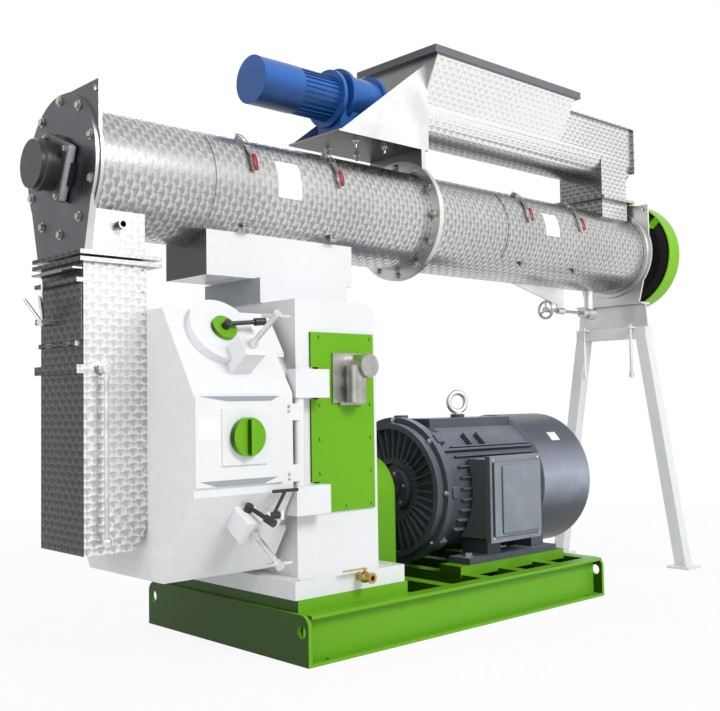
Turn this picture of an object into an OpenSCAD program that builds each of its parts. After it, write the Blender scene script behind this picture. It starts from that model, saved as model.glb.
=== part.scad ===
// Feed pellet mill with screw feeder, conditioner drum and ring die pellet press.
// X runs from the press door to the drive motor, Y to the far side, Z up.
// The origin is the centre of the base frame's footprint on the floor.

/* [Base frame] */
// Length of the base frame
base_l = 1810; // [1700:10:2200]
// Width of the base frame
base_w = 1060; // [1000:10:1300]
// Height of the base frame
base_h = 178; // [140:2:240]
// Width of the rail flanges
rail_flange = 60; // [50:1:100]
// Wall of the rail channels
rail_t = 12; // [8:1:20]
// Thickness of the two end plates
end_plate_t = 16; // [10:1:30]
// Height of the plinth under the gearbox
plinth_h = 44; // [20:1:80]
// Height of the rails under the motor
motor_rail_h = 34; // [20:1:60]

/* [Gearbox] */
// Length of the gearbox along the shafts
gearbox_l = 408; // [380:2:480]
// Width of the gearbox
gearbox_w = 760; // [720:10:860]
// Height of the gearbox
gearbox_h = 1090; // [1050:10:1200]
// Wall of the gearbox
gearbox_wall = 25; // [15:1:35]
// Module of the gear teeth
gear_module = 5; // [4.5:0.1:5.5]
// Teeth on the main gear
gear_teeth = 91; // [81:2:99]
// Teeth on the pinion
pinion_teeth = 20; // [16:4:24]

/* [Ring die] */
// Inner radius of the ring die
die_r = 210; // [190:1:225]
// Width of the ring die
die_w = 130; // [100:1:150]
// Radial thickness of the ring die
die_t = 45; // [30:1:60]
// Radius of the press rollers
roller_r = 95; // [80:1:98]

/* [Press door] */
// Length of the door casing along X
casing_l = 458; // [420:2:520]
// Width of the door casing
casing_w = 900; // [860:10:980]
// Height of the door casing
casing_h = 945; // [900:5:1000]
// Wall of the door casing
casing_t = 8; // [4:1:12]
// Slope of the two knife screws
knife_slope = 34; // [30:1:38]

/* [Feed chute] */
// Depth of the chute along X
chute_d = 242; // [220:2:280]
// Width of the chute
chute_w = 320; // [280:2:360]
// Height of the chute
chute_h = 1004; // [900:2:1050]
// Sheet thickness of chute, throat and spout
sheet_t = 4; // [2:0.5:6]

/* [Conditioner] */
// Outer radius of the drum
drum_r = 225; // [200:1:245]
// Length of the drum
drum_l = 3390; // [3200:10:3700]
// Sheet thickness of the drum
drum_t = 4; // [3:0.5:8]
// Radius of the paddle shaft
paddle_shaft_r = 38; // [30:1:50]
// Paddles on the shaft
paddles = 24; // [12:1:26]
// Outer radius of the drum pulley
pulley_r = 287; // [240:1:300]

/* [Screw feeder] */
// Inner radius of the feeder trough
trough_r = 136; // [120:1:150]
// Width of the hopper rim
hopper_w = 522; // [460:2:600]
// Length of the hopper rim
hopper_l = 1109; // [1000:1:1180]
// Pitch of the feeder screw
screw_pitch = 160; // [120:5:200]
// Radius of the feeder screw
screw_r = 128; // [110:1:133]

/* [Motor] */
// Height of the motor shaft above its feet
motor_shaft_h = 315; // [310:1:340]
// Outer radius of the motor bells
motor_r = 327; // [300:1:330]
// Length of the motor from bell to fan cover end
motor_l = 1120; // [1070:2:1180]

/* [Support] */
// Side of the square tube of the support frame
leg_tube = 65; // [50:1:90]
// Distance between the two feet of the support frame
feet_span = 810; // [700:10:1000]

/* [Hidden] */
$fn = 144;

// Colours of the finishes
green_c = [0.44, 0.69, 0.16];
white_c = [0.93, 0.93, 0.94];
steel_c = [0.74, 0.74, 0.73];
dark_c = [0.29, 0.31, 0.35];
black_c = [0.08, 0.08, 0.09];
blue_c = [0.18, 0.36, 0.68];
red_c = [0.78, 0.12, 0.14];
brass_c = [0.72, 0.56, 0.26];

// Running fit, free gap between moving pieces, gap of welded curved seats, cut overrun
fit = 0.05;
gap = 3;
seat = 0.2;
over = 5;

// Places along X
gearbox_x0 = -827;
gearbox_x1 = gearbox_x0 + gearbox_l;
casing_gap = 35;
casing_x1 = gearbox_x0 - casing_gap;
casing_x0 = casing_x1 - casing_l;
chute_x1 = casing_x0;
chute_x0 = chute_x1 - chute_d;
throat_inset = 22;
drum_x0 = chute_x0 + throat_inset;
drum_x1 = drum_x0 + drum_l;
motor_x0 = 16;
motor_x1 = motor_x0 + motor_l;

// Heights
plinth_z = base_h + plinth_h;
gearbox_z1 = plinth_z + gearbox_h;
motor_z = base_h + motor_rail_h + motor_shaft_h;
gear_r = gear_module * gear_teeth / 2;
pinion_r = gear_module * pinion_teeth / 2;
die_z = motor_z + gear_r + pinion_r;
riser_h = 105;
saddle_z = gearbox_z1 + riser_h;
saddle_drop = 116;
drum_z = saddle_z + saddle_drop + drum_r;
throat_drop = 82;
throat_z = drum_z - drum_r - throat_drop;
feeder_lift = 79;
feeder_z = drum_z + drum_r + feeder_lift;
plate_t = 8;
screw_lift = 212;
trough_z = feeder_z + plate_t + screw_lift;
hopper_rise = 243;
hopper_z = trough_z + hopper_rise;

// Range with a middle and a half width, and range with a start and a length
function mid(c, half) = [c - half, c + half];
function on(a, l) = [a, a + l];

// Block between two corners
module block(x, y, z) {
 translate([x[0], y[0], z[0]])
  cube([x[1] - x[0], y[1] - y[0], z[1] - z[0]]);
}

// Round bars along each axis
module bar_x(x, y, z, r) {
 translate([x[0], y, z])
  rotate([0, 90, 0])
   cylinder(h = x[1] - x[0], r = r);
}
module bar_y(x, y, z, r) {
 translate([x, y[1], z])
  rotate([90, 0, 0])
   cylinder(h = y[1] - y[0], r = r);
}
module bar_z(x, y, z, r) {
 translate([x, y, z[0]])
  cylinder(h = z[1] - z[0], r = r);
}

// Tube along X
module tube_x(x, y, z, r_out, r_in) {
 difference() {
  bar_x(x, y, z, r_out);
  bar_x([x[0] - over, x[1] + over], y, z, r_in);
 }
}

// Outline in Y and Z extruded along X, and outline in X and Z extruded along Y
module plate_x(x) {
 translate([x[0], 0, 0])
  rotate([90, 0, 90])
   linear_extrude(height = x[1] - x[0])
    children();
}
module plate_y(y) {
 translate([0, y[1], 0])
  rotate([90, 0, 0])
   linear_extrude(height = y[1] - y[0])
    children();
}

// Outline points of an arc
function arc(c, r, a0, a1, n = 12) =
 [for (i = [0:n]) [c[0] + r * cos(a0 + (a1 - a0) * i / n), c[1] + r * sin(a0 + (a1 - a0) * i / n)]];

// Holes round a circle in a plate that lies across X
module holes_x(x, y, z, pcd_r, r, count, start = 0) {
 for (i = [0:count - 1])
  bar_x([x[0] - over, x[1] + over], y + pcd_r * cos(start + 360 * i / count),
   z + pcd_r * sin(start + 360 * i / count), r);
}

// Base frame: two channel rails, two end plates, a deck with plinth and motor rails
rail_y = base_w / 2 - rail_flange;
anchor_r = 11;
anchor_inset_x = 105;
anchor_inset_y = 30;
anchor_x = base_l / 2 - anchor_inset_x;
anchor_y = base_w / 2 - anchor_inset_y;

module base_rails() {
 color(green_c)
  for (side = [-1, 1])
   difference() {
    plate_x([end_plate_t - base_l / 2, base_l / 2 - end_plate_t])
     scale([side, 1])
      polygon([[rail_y, 0], [base_w / 2, 0], [base_w / 2, rail_t],
       [rail_y + rail_t, rail_t], [rail_y + rail_t, base_h - rail_t],
       [base_w / 2, base_h - rail_t], [base_w / 2, base_h], [rail_y, base_h]]);
    for (end = [-1, 1])
     bar_z(end * anchor_x, side * anchor_y, [-over, rail_t + over], anchor_r);
   }
}

end_corner_r = 40;
lift_r = 23;
lift_inset = 38;
lift_drop = 58;
module base_end_plates() {
 half = base_w / 2;
 color(green_c)
  for (end = [-1, 1])
   difference() {
    plate_x(mid(end * (base_l - end_plate_t) / 2, end_plate_t / 2))
     polygon(concat([[-half, 0], [half, 0]],
      arc([half - end_corner_r, base_h - end_corner_r], end_corner_r, 0, 90),
      arc([end_corner_r - half, base_h - end_corner_r], end_corner_r, 90, 180)));
    for (side = [-1, 1])
     bar_x(mid(end * base_l / 2, 2 * end_plate_t),
      side * (half - lift_inset), base_h - lift_drop, lift_r);
   }
}
module base_frame() {
 base_rails();
 base_end_plates();
}

beam_w = 60;
deck_t = 12;
tray_z = 60;
deck_x0 = end_plate_t - base_l / 2;
foot_lap = 71;
plinth_over = 13;
plinth_side = 3;
plinth_x1 = gearbox_x1 + foot_lap + plinth_over;
foot_y0 = 235;
foot_y1 = 358;
foot_x0 = 150;
foot_x1 = 770;
deck_beams = 3;
motor_beams = 5;
module base_deck() {
 deck_l = plinth_x1 - deck_x0;
 open_l = base_l / 2 - end_plate_t - plinth_x1;
 color(green_c) {
  block([deck_x0, plinth_x1], [-rail_y, rail_y], [base_h - deck_t, base_h]);
  block([deck_x0, plinth_x1], mid(0, gearbox_y + foot_over_y + plinth_side), [base_h - over, plinth_z]);
  for (i = [0:deck_beams - 1]) {
   x = deck_x0 + (deck_l - beam_w) * i / (deck_beams - 1);
   block(on(x, beam_w), [-rail_y, rail_y], [rail_t, base_h - deck_t / 2]);
  }
  for (i = [1:motor_beams]) {
   x = plinth_x1 - beam_w + open_l * i / motor_beams;
   block(on(x, beam_w), [-rail_y, rail_y], [rail_t, base_h]);
  }
  block([plinth_x1 - over, base_l / 2 - end_plate_t], [-rail_y, rail_y], on(tray_z, plate_t));
  for (side = [-1, 1])
   scale([1, side, 1])
    difference() {
     block([foot_x0 - beam_w, foot_x1 + beam_w], [foot_y0, foot_y1],
      [base_h - deck_t, base_h + motor_rail_h]);
     for (x = [foot_x0 + beam_w, foot_x1 - beam_w])
      bar_z(x, (foot_y0 + foot_y1) / 2,
       on(base_h, motor_rail_h + over), anchor_r);
    }
 }
}

// Gearbox: cast housing with hollow shaft, pinion and rear flange bores

gearbox_y = gearbox_w / 2;
foot_h = 65;
foot_over_y = 72;
shoulder_r = 60;
quill_r = 110;
quill_bore_r = 75;
boss_l = 60;
boss_r = 165;
pinion_journal_r = 40;
pinion_boss_r = 85;
opening_inset_x = 82;
opening_z0 = 560;
opening_z1 = 1150;
bolt_r = 7;
foot_bolt_r = 13;
foot_bolt_inset = 36;
back_y = 400;
back_inset = 15;
module gearbox_outer() {
 plate_y([-gearbox_y, gearbox_y])
  polygon(concat([[gearbox_x0, plinth_z], [gearbox_x1, plinth_z]],
   arc([gearbox_x1 - shoulder_r, gearbox_z1 - shoulder_r], shoulder_r, 0, 90),
   [[gearbox_x0, gearbox_z1]]));
 block([gearbox_x0 - foot_lap, gearbox_x1 + foot_lap], [-gearbox_y - foot_over_y, gearbox_y + foot_over_y],
  on(plinth_z, foot_h));
}
module gearbox_housing() {
 color(white_c)
  difference() {
   union() {
    difference() {
     gearbox_outer();
     block([gearbox_x0 + gearbox_wall, gearbox_x1 - gearbox_wall],
      [gearbox_wall - gearbox_y, gearbox_y - gearbox_wall],
      [plinth_z + gearbox_wall, gearbox_z1 - gearbox_wall]);
     block([gearbox_x0 + opening_inset_x, gearbox_x1 - opening_inset_x],
      [-gearbox_y - over, gearbox_y + over], [opening_z0, opening_z1]);
    }
    plate_x([casing_x1 + gap, gearbox_x0 + over])
     polygon(octagon(back_y, casing_z0 + back_inset, casing_z1 - back_inset, chamfer_y, chamfer_z));
    bar_x(on(gearbox_x0, boss_l), 0, die_z, boss_r);
    bar_x([gearbox_x1 - boss_l, gearbox_x1], 0, die_z, boss_r);
    bar_x(on(gearbox_x0, boss_l), 0, motor_z, pinion_boss_r);
    bar_x([gearbox_x1 - boss_l, gearbox_x1], 0, motor_z, pinion_boss_r);
   }
   bar_x([casing_x1 - over, gearbox_x1 + over], 0, die_z, quill_r + fit);
   bar_x([gearbox_x0 + gearbox_wall, gearbox_x1 + over], 0, motor_z, pinion_journal_r + fit);
   for (x = [gearbox_x0 - foot_bolt_inset, gearbox_x1 + foot_bolt_inset], y = [-1, 0, 1])
    bar_z(x, y * (gearbox_y + foot_over_y - foot_bolt_inset), [plinth_z - over,
     plinth_z + foot_h + over], foot_bolt_r);
  }
}

// Hinge block and cover places, the cover is notched round the blocks
hinge_gap = 6;
hinge_x = casing_x1 + hinge_gap;
hinge_y = -430;
hinge_pin_r = 12;
hinge_tube_r = 20;
hinge_z0 = 625;
hinge_z1 = 943;
block_h = 105;
block_back = 34;
block_front = 126;
block_x0 = hinge_x - block_back;
block_x1 = hinge_x + block_front;
block_over = 28;
cover_t = 8;
cover_inset_x = [66, 20];
cover_x0 = gearbox_x0 + cover_inset_x[0];
cover_x1 = gearbox_x1 - cover_inset_x[1];
cover_z0 = 513;
cover_z1 = 1190;
cover_gap = 5;
module cover_plate(y) {
 plate_y(y)
  polygon([[block_x1 + cover_gap, cover_z0], [cover_x1, cover_z0], [cover_x1, cover_z1],
   [cover_x0, cover_z1], [cover_x0, hinge_z1 + block_h + cover_gap * 2],
   [block_x1 + cover_gap, hinge_z1 + block_h + cover_gap * 2],
   [block_x1 + cover_gap, hinge_z1 - cover_gap],
   [cover_x0, hinge_z1 - cover_gap], [cover_x0, hinge_z0 + cover_gap],
   [block_x1 + cover_gap, hinge_z0 + cover_gap]]);
}
module gearbox_covers() {
 color(green_c) {
  cover_plate([-gearbox_y - cover_t, -gearbox_y]);
  cover_plate(on(gearbox_y, cover_t));
 }
}

// Oil pump on the near cover: plate, cylinder head and body
pump_x = -629;
pump_z = 1018;
pump_plate_w = 60;
pump_plate_h = 190;
pump_plate_t = 10;
pump_r = 45;
pump_l = 95;
pump_body_r = 38;
module oil_pump() {
 y0 = -gearbox_y - cover_t;
 color(steel_c) {
  block([pump_x - pump_plate_w / 2, pump_x + pump_plate_w * 2], [y0 - pump_plate_t, y0],
   mid(pump_z, pump_plate_h / 2));
  bar_y(pump_x + pump_plate_w * 1.4, [y0 - pump_l, y0 - pump_plate_t], pump_z + pump_r, pump_r);
  bar_z(pump_x + pump_plate_w, y0 - pump_plate_t - pump_body_r * 0.8,
   [pump_z - pump_plate_h / 2, pump_z + pump_plate_h / 4], pump_body_r);
  block(on(pump_x, pump_plate_w * 2), [y0 - pump_plate_t - plate_t, y0],
   mid(pump_z - pump_plate_h / 2, plate_t));
 }
}

// Oil drain valve in the near side of the gearbox foot, with its lever
drain_x = -593;
drain_rise = 18;
drain_z = plinth_z + foot_h / 2 + drain_rise;
drain_l = 70;
drain_r = 17;
drain_stem_r = 6;
drain_stem_h = 30;
drain_lever_l = 105;
drain_lever_w = 14;
module drain_valve() {
 y1 = -gearbox_y - foot_over_y;
 color(brass_c)
  difference() {
   union() {
    bar_y(drain_x, [y1 - drain_l, y1], drain_z, drain_r);
    translate([drain_x, y1 - drain_l / 2, drain_z])
     sphere(r = drain_r * 1.3);
    bar_y(drain_x, [y1 - drain_l - plate_t, y1 - drain_l], drain_z, drain_r * 1.2);
   }
   bar_y(drain_x, [y1 - drain_l - over * 3, y1 - drain_l * 0.75], drain_z, drain_r * 0.6);
   bar_z(drain_x, y1 - drain_l / 2, [drain_z + drain_r * 0.5, drain_z + drain_r * 2], drain_stem_r + fit);
  }
}
module drain_lever() {
 y = -gearbox_y - foot_over_y - drain_l / 2;
 color(brass_c) {
  bar_z(drain_x, y, [drain_z + drain_r * 0.5, drain_z + drain_stem_h + plate_t / 2], drain_stem_r);
  block([drain_x - drain_lever_l, drain_x + drain_lever_w / 2],
   mid(y, drain_lever_w / 2), [drain_z + drain_stem_h, drain_z + drain_stem_h + plate_t / 2]);
 }
}

// Hinge blocks on the gearbox corner and the pin that carries the door
module door_hinge_bracket() {
 color(white_c) {
  difference() {
   for (z = [[hinge_z0 - block_h, hinge_z0], [hinge_z1, hinge_z1 + block_h]])
    block([block_x0, block_x1], [hinge_y - block_over, -gearbox_y], [z[0] + seat, z[1] - seat]);
   block([block_x0 - over, gearbox_x0 + over], [-back_y, over - gearbox_y],
    [hinge_z0 - block_h, hinge_z1 + block_h]);
  }
  bar_z(hinge_x, hinge_y, [hinge_z0 - block_h - over, hinge_z1 + block_h + over], hinge_pin_r);
 }
}

// Hollow riser and saddle box that carry the drum
riser_over = [13, 26];
riser_x0 = gearbox_x0 - riser_over[0];
riser_x1 = gearbox_x1 + riser_over[1];
riser_y = 187;
saddle_over = [226, 99];
saddle_x0 = gearbox_x0 - saddle_over[0];
saddle_x1 = gearbox_x1 + saddle_over[1];
saddle_y = 140;
saddle_t = 10;
saddle_bottom = 7;
module drum_saddle() {
 color(white_c)
  difference() {
   union() {
    block([riser_x0, riser_x1], [-riser_y, riser_y], [gearbox_z1, saddle_z - saddle_bottom]);
    block([saddle_x0, saddle_x1], [-saddle_y, saddle_y], [saddle_z - saddle_bottom, drum_z - drum_r / 2]);
   }
   block([riser_x0 + saddle_t, riser_x1 - saddle_t], [saddle_t - riser_y, riser_y - saddle_t],
    [gearbox_z1 + saddle_t, saddle_z - saddle_bottom - saddle_t]);
   block([saddle_x0 + saddle_t, saddle_x1 - saddle_t], [saddle_t - saddle_y, saddle_y - saddle_t],
    [saddle_z - saddle_bottom + saddle_t, drum_z]);
   bar_x([saddle_x0 - over, saddle_x1 + over], 0, drum_z, drum_r + seat);
  }
}

// Gears: involute teeth drawn thin by the backlash
pressure_angle = 20;
backlash = 0.35;
addendum_share = 0.95;
dedendum_share = 1.2;
tooth_steps = 3;
function inv_point(base_r, roll) =
 [base_r * (cos(roll) + roll * PI / 180 * sin(roll)), base_r * (sin(roll) - roll * PI / 180 * cos(roll))];
function roll_at(base_r, r) = r <= base_r ? 0 : 180 / PI * sqrt(pow(r / base_r, 2) - 1);
function turn(p, a) = [p[0] * cos(a) - p[1] * sin(a), p[0] * sin(a) + p[1] * cos(a)];
function flank(teeth) =
 let (pitch_r = gear_module * teeth / 2,
  base_r = pitch_r * cos(pressure_angle),
  root_r = pitch_r - gear_module * dedendum_share,
  start = roll_at(base_r, max(root_r, base_r)),
  end = roll_at(base_r, pitch_r + gear_module * addendum_share),
  at = inv_point(base_r, roll_at(base_r, pitch_r)),
  half = 90 / teeth - backlash / pitch_r * 90 / PI + atan2(at[1], at[0]))
 concat([turn([root_r, 0], -half)],
  [for (i = [0:tooth_steps]) turn(inv_point(base_r, start + (end - start) * i / tooth_steps), -half)]);
function tooth(teeth) =
 let (side = flank(teeth), n = len(side))
 concat(side, [for (i = [n - 1:-1:0]) [side[i][0], -side[i][1]]]);
module gear_outline(teeth, phase) {
 polygon([for (k = [0:teeth - 1]) for (p = tooth(teeth)) turn(p, phase + 360 * k / teeth)]);
}

// Drive train stations along X
gear_w = 110;
gear_gap = 75;
gear_x0 = gearbox_x0 + boss_l + gear_gap;
quill_reach = 205;
quill_x0 = gearbox_x0 - quill_reach;
quill_t = 35;
quill_rim_r = 245;
quill_end = 11;
gear_hub_r = 150;
gear_web_t = 40;
module main_gear() {
 recess = (gear_w - gear_web_t) / 2;
 color(dark_c)
  translate([0, 0, die_z])
   difference() {
    plate_x(on(gear_x0, gear_w))
     gear_outline(gear_teeth, -90);
    bar_x([gear_x0 - over, gear_x0 + gear_w + over], 0, 0, quill_r + fit);
    tube_x([gear_x0 - over, gear_x0 + recess], 0, 0, gear_r - gear_module * 4, gear_hub_r);
    tube_x([gear_x0 + gear_w - recess, gear_x0 + gear_w + over], 0, 0,
     gear_r - gear_module * 4, gear_hub_r);
   }
}
module hollow_shaft() {
 color(steel_c)
  difference() {
   union() {
    bar_x([quill_x0, gearbox_x1 - quill_end], 0, die_z, quill_r);
    bar_x(on(quill_x0, quill_t), 0, die_z, quill_rim_r);
   }
   bar_x([quill_x0 - over, gearbox_x1 + over], 0, die_z, quill_bore_r);
   holes_x(on(quill_x0, quill_t), 0, die_z,
    die_r + die_t / 2, bolt_r, 12, 15);
  }
}
die_x0 = quill_x0 - die_w;
die_hole_r = 6;
die_rows = 3;
die_holes = 20;
module ring_die() {
 color(steel_c)
  difference() {
   tube_x([die_x0, quill_x0], 0, die_z, die_r + die_t, die_r);
   for (row = [1:die_rows], i = [0:die_holes - 1])
    translate([die_x0 + die_w * row / (die_rows + 1), 0, die_z])
     rotate([360 * (i + row / 2) / die_holes, 0, 0])
      translate([0, 0, die_r - over])
       cylinder(h = die_t + 2 * over, r = die_hole_r);
   holes_x([quill_x0 - die_t, quill_x0], 0, die_z, die_r + die_t / 2, bolt_r, 12, 15);
  }
}

// Fixed main shaft with the roller carrier inside the die
main_shaft_r = 70;
main_flange_t = 20;
carrier_t = 12;
carrier_gap = 3;
roller_gap = 0.5;
roller_offset = die_r - roller_r - roller_gap;
roller_pin_r = 30;
carrier_r = 60;
carrier_x1 = quill_x0 - carrier_gap;
carrier_x0 = die_x0 - 2 * carrier_gap - carrier_t;
roller_x0 = carrier_x0 + carrier_t + gap;
roller_x1 = carrier_x1 - carrier_t - gap;
module carrier_plate(x) {
 plate_x(on(x, carrier_t))
  translate([0, die_z]) {
   square([2 * carrier_r, 2 * roller_offset], center = true);
   for (side = [-1, 1])
    translate([0, side * roller_offset])
     circle(r = carrier_r);
  }
}
module main_shaft() {
 color(steel_c) {
  bar_x([carrier_x1 - carrier_t / 2, gearbox_x1 + main_flange_t], 0, die_z, main_shaft_r);
  bar_x(on(gearbox_x1, main_flange_t), 0, die_z, quill_r + fit + over * 2);
  carrier_plate(carrier_x1 - carrier_t);
  carrier_plate(carrier_x0);
  for (side = [-1, 1])
   bar_x([carrier_x0, carrier_x1 - carrier_t / 2], 0, die_z + side * roller_offset, roller_pin_r);
 }
}
module press_roller(side) {
 color(steel_c)
  difference() {
   bar_x([roller_x0, roller_x1], 0, die_z + side * roller_offset, roller_r);
   bar_x([roller_x0 - over, roller_x1 + over], 0, die_z + side * roller_offset, roller_pin_r + fit);
   for (end = [roller_x0 - over, roller_x1 - over])
    tube_x(on(end, 2 * over), 0, die_z + side * roller_offset, roller_r * 0.8, roller_r * 0.5);
  }
}
module press_roller_upper() press_roller(1);
module press_roller_lower() press_roller(-1);

// Pinion shaft, motor rotor and the two halves of their coupling
pinion_over = 5;
pinion_w = gear_w + 2 * pinion_over;
coupling_x = -215;
coupling_r = 120;
coupling_l = 90;
coupling_gap = 6;
motor_shaft_r = 42.5;
jaw_r = 14;
jaw_pcd_r = 85;
jaws = 6;
module pinion_shaft() {
 color(dark_c) {
  plate_x([gear_x0 - pinion_over, gear_x0 - pinion_over + pinion_w])
   translate([0, motor_z])
    gear_outline(pinion_teeth, 90 + 180 / pinion_teeth);
  bar_x([gearbox_x0 + gearbox_wall + gap, coupling_x - coupling_gap], 0, motor_z, pinion_journal_r);
  difference() {
   bar_x([coupling_x - coupling_l, coupling_x - coupling_gap / 2], 0, motor_z, coupling_r);
   holes_x([coupling_x - coupling_l / 2, coupling_x], 0, motor_z, jaw_pcd_r, jaw_r + fit, jaws);
  }
 }
}
bell_l = 74;
fan_cover_l = 400;
rotor_r = 170;
stator_r = 172;
fan_r = 230;
fan_blades = 9;
fan_l = 70;
module motor_rotor() {
 color(dark_c) {
  difference() {
   union() {
    bar_x([coupling_x + coupling_gap / 2, coupling_x + coupling_l], 0, motor_z, coupling_r);
    bar_x([coupling_x + coupling_gap / 2, motor_x1 - fan_cover_l / 2], 0, motor_z, motor_shaft_r);
   }
   bar_x([coupling_x - over, coupling_x + coupling_gap], 0, motor_z, motor_shaft_r / 2);
  }
  holes_x([coupling_x - coupling_l / 3 + over, coupling_x + coupling_gap], 0, motor_z, jaw_pcd_r,
   jaw_r, jaws);
  bar_x([motor_x0 + bell_l * 2, motor_x1 - fan_cover_l - bell_l * 2], 0, motor_z, rotor_r);
  bar_x([motor_x1 - fan_cover_l + fan_l / 2, motor_x1 - fan_cover_l + fan_l / 2 + plate_t], 0,
   motor_z, fan_r * 0.6);
  for (i = [0:fan_blades - 1])
   translate([motor_x1 - fan_cover_l + fan_l / 2, 0, motor_z])
    rotate([360 * i / fan_blades, 0, 0])
     translate([0, -plate_t / 4, motor_shaft_r * 0.8])
      cube([fan_l, plate_t / 2, fan_r - motor_shaft_r * 0.8]);
 }
}

// Main motor: finned frame with feet, bell, fan cover, terminal box
frame_r = 300;
fin_h = 18;
fin_t = 7;
fins = 9;
fin_step = 9;
foot_t = 28;
eye_x = 489;
eye_r = 46;
eye_wire_r = 13;
eye_foot_r = 24;
eye_turn = -20;
eye_pad_r = 34;
eye_pad_h = 16;
end_wall_t = 30;
top_deck_y = 120;
module motor_frame() {
 x0 = motor_x0 + bell_l;
 x1 = motor_x1 - fan_cover_l;
 color(dark_c)
  difference() {
   union() {
    bar_x([x0, x1], 0, motor_z, frame_r);
    for (side = [-1, 1], i = [0:fins - 1])
     translate([x0 + bell_l, 0, motor_z])
      rotate([side * (52 + fin_step * i), 0, 0])
       translate([0, -fin_t / 2, frame_r - fin_h])
        cube([x1 - x0 - bell_l - end_wall_t / 2, fin_t, 2 * fin_h]);
    block([x0 + bell_l, x1], [-top_deck_y, top_deck_y], on(motor_z, frame_r + fin_h));
    for (side = [-1, 1])
     scale([1, side, 1]) {
      block([foot_x0, foot_x1], [foot_y0, foot_y1],
       [base_h + motor_rail_h, base_h + motor_rail_h + foot_t]);
      for (x = [foot_x0 + beam_w * 2.6, foot_x1 - beam_w * 2.5])
       block(on(x, beam_w * 1.5), [foot_y0 - beam_w, foot_y1 - beam_w / 2],
        [base_h + motor_rail_h + foot_t / 2, motor_z - frame_r * 0.76]);
     }
    bar_z(eye_x, 0, [motor_z + frame_r, motor_z + frame_r + fin_h + eye_pad_h], eye_pad_r);
   }
   bar_x([x0 + end_wall_t, x1 - end_wall_t], 0, motor_z, stator_r + gap);
   bar_x([x0 - over, x1 + over], 0, motor_z, motor_shaft_r + fit);
   for (x = [foot_x0 + beam_w, foot_x1 - beam_w], side = [-1, 1])
    bar_z(x, side * (foot_y0 + foot_y1) / 2,
     on(base_h, motor_rail_h + foot_t + over), anchor_r);
  }
}
module lifting_eye() {
 z0 = motor_z + frame_r + fin_h + eye_pad_h;
 color(steel_c) {
  bar_z(eye_x, 0, on(z0, eye_wire_r), eye_foot_r);
  translate([eye_x, 0, z0 + eye_r + eye_wire_r])
   rotate([90, 0, eye_turn])
    rotate_extrude()
     translate([eye_r, 0])
      circle(r = eye_wire_r);
 }
}
bell_rim_t = 26;
bell_ribs = 36;
bell_hub_r = 145;
bell_cap_r = 95;
bell_cap_out = 20;
bell_face_t = 24;
module motor_bell() {
 x0 = motor_x0;
 color(dark_c)
  difference() {
   union() {
    tube_x(on(x0, bell_l), 0, motor_z, motor_r - bell_rim_t, motor_r - 2 * bell_rim_t);
    tube_x([x0 + bell_l / 2, x0 + bell_l], 0, motor_z, motor_r, motor_r - 2 * bell_rim_t);
    bar_x([x0 + bell_l - bell_face_t, x0 + bell_l], 0, motor_z, motor_r - bell_rim_t);
    bar_x([x0 + bell_cap_out, x0 + bell_l - over], 0, motor_z, bell_cap_r);
    tube_x([x0 + bell_cap_out * 1.5, x0 + bell_l - over], 0, motor_z, bell_hub_r, bell_hub_r - bell_rim_t);
    for (i = [0:bell_ribs - 1])
     translate([x0 + bell_rim_t, 0, motor_z])
      rotate([360 * i / bell_ribs, 0, 0])
       translate([0, -fin_t / 2, bell_hub_r - bell_rim_t / 2])
        cube([bell_l - bell_rim_t - over, fin_t, motor_r - bell_hub_r - bell_rim_t]);
   }
   bar_x([x0 - bell_rim_t, x0 + bell_l + over], 0, motor_z, motor_shaft_r + fit);
  }
}
cover_edge_r = 40;
grille_r = 9;
module motor_fan_cover() {
 x0 = motor_x1 - fan_cover_l;
 color(dark_c)
  difference() {
   translate([0, 0, motor_z])
    rotate([0, 90, 0])
     rotate_extrude()
      polygon(concat([[frame_r + seat, x0], [motor_r, x0]],
       arc([motor_r - cover_edge_r, motor_x1 - cover_edge_r], cover_edge_r, 0, 90, 6),
       [[0, motor_x1], [0, motor_x1 - sheet_t],
       [motor_r - cover_edge_r, motor_x1 - sheet_t],
       [motor_r - sheet_t, motor_x1 - cover_edge_r], [motor_r - sheet_t, x0 + sheet_t],
       [frame_r + seat, x0 + sheet_t]]));
   for (ring = [1:4])
    holes_x([motor_x1 - sheet_t, motor_x1], 0, motor_z, fan_r * ring / 4, grille_r, 8 * ring);
  }
}
box_x0 = 210;
box_x1 = 563;
box_z0 = 305;
box_z1 = 680;
box_y = 430;
box_lid_t = 28;
box_rim = 14;
gland_r = 24;
gland_l = 22;
module motor_terminal_box() {
 x0 = box_x0 + box_rim;
 color(dark_c)
  difference() {
   union() {
    block([x0, box_x1], [-box_y + box_lid_t, -frame_r / 2], [box_z0 + box_rim, box_z1 - box_rim]);
    block([box_x0, box_x1], [-box_y, box_lid_t - box_y], [box_z0, box_z1]);
    block([box_x0 + box_rim, box_x1 - box_rim], [-box_y - box_rim, box_lid_t - box_y],
     [box_z0 + box_rim * 2, box_z1 - box_rim * 2]);
    bar_x([box_x1 - over, box_x1 + gland_l], -box_y + box_lid_t * 2.4, box_z0 + box_rim * 5, gland_r * 1.5);
   }
   bar_x([x0 - over, box_x1 + over], 0, motor_z, frame_r + fin_h + seat);
   bar_x([box_x1 - box_rim * 4, box_x1 + gland_l + over], -box_y + box_lid_t * 2.4,
    box_z0 + box_rim * 5, gland_r);
  }
}

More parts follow.
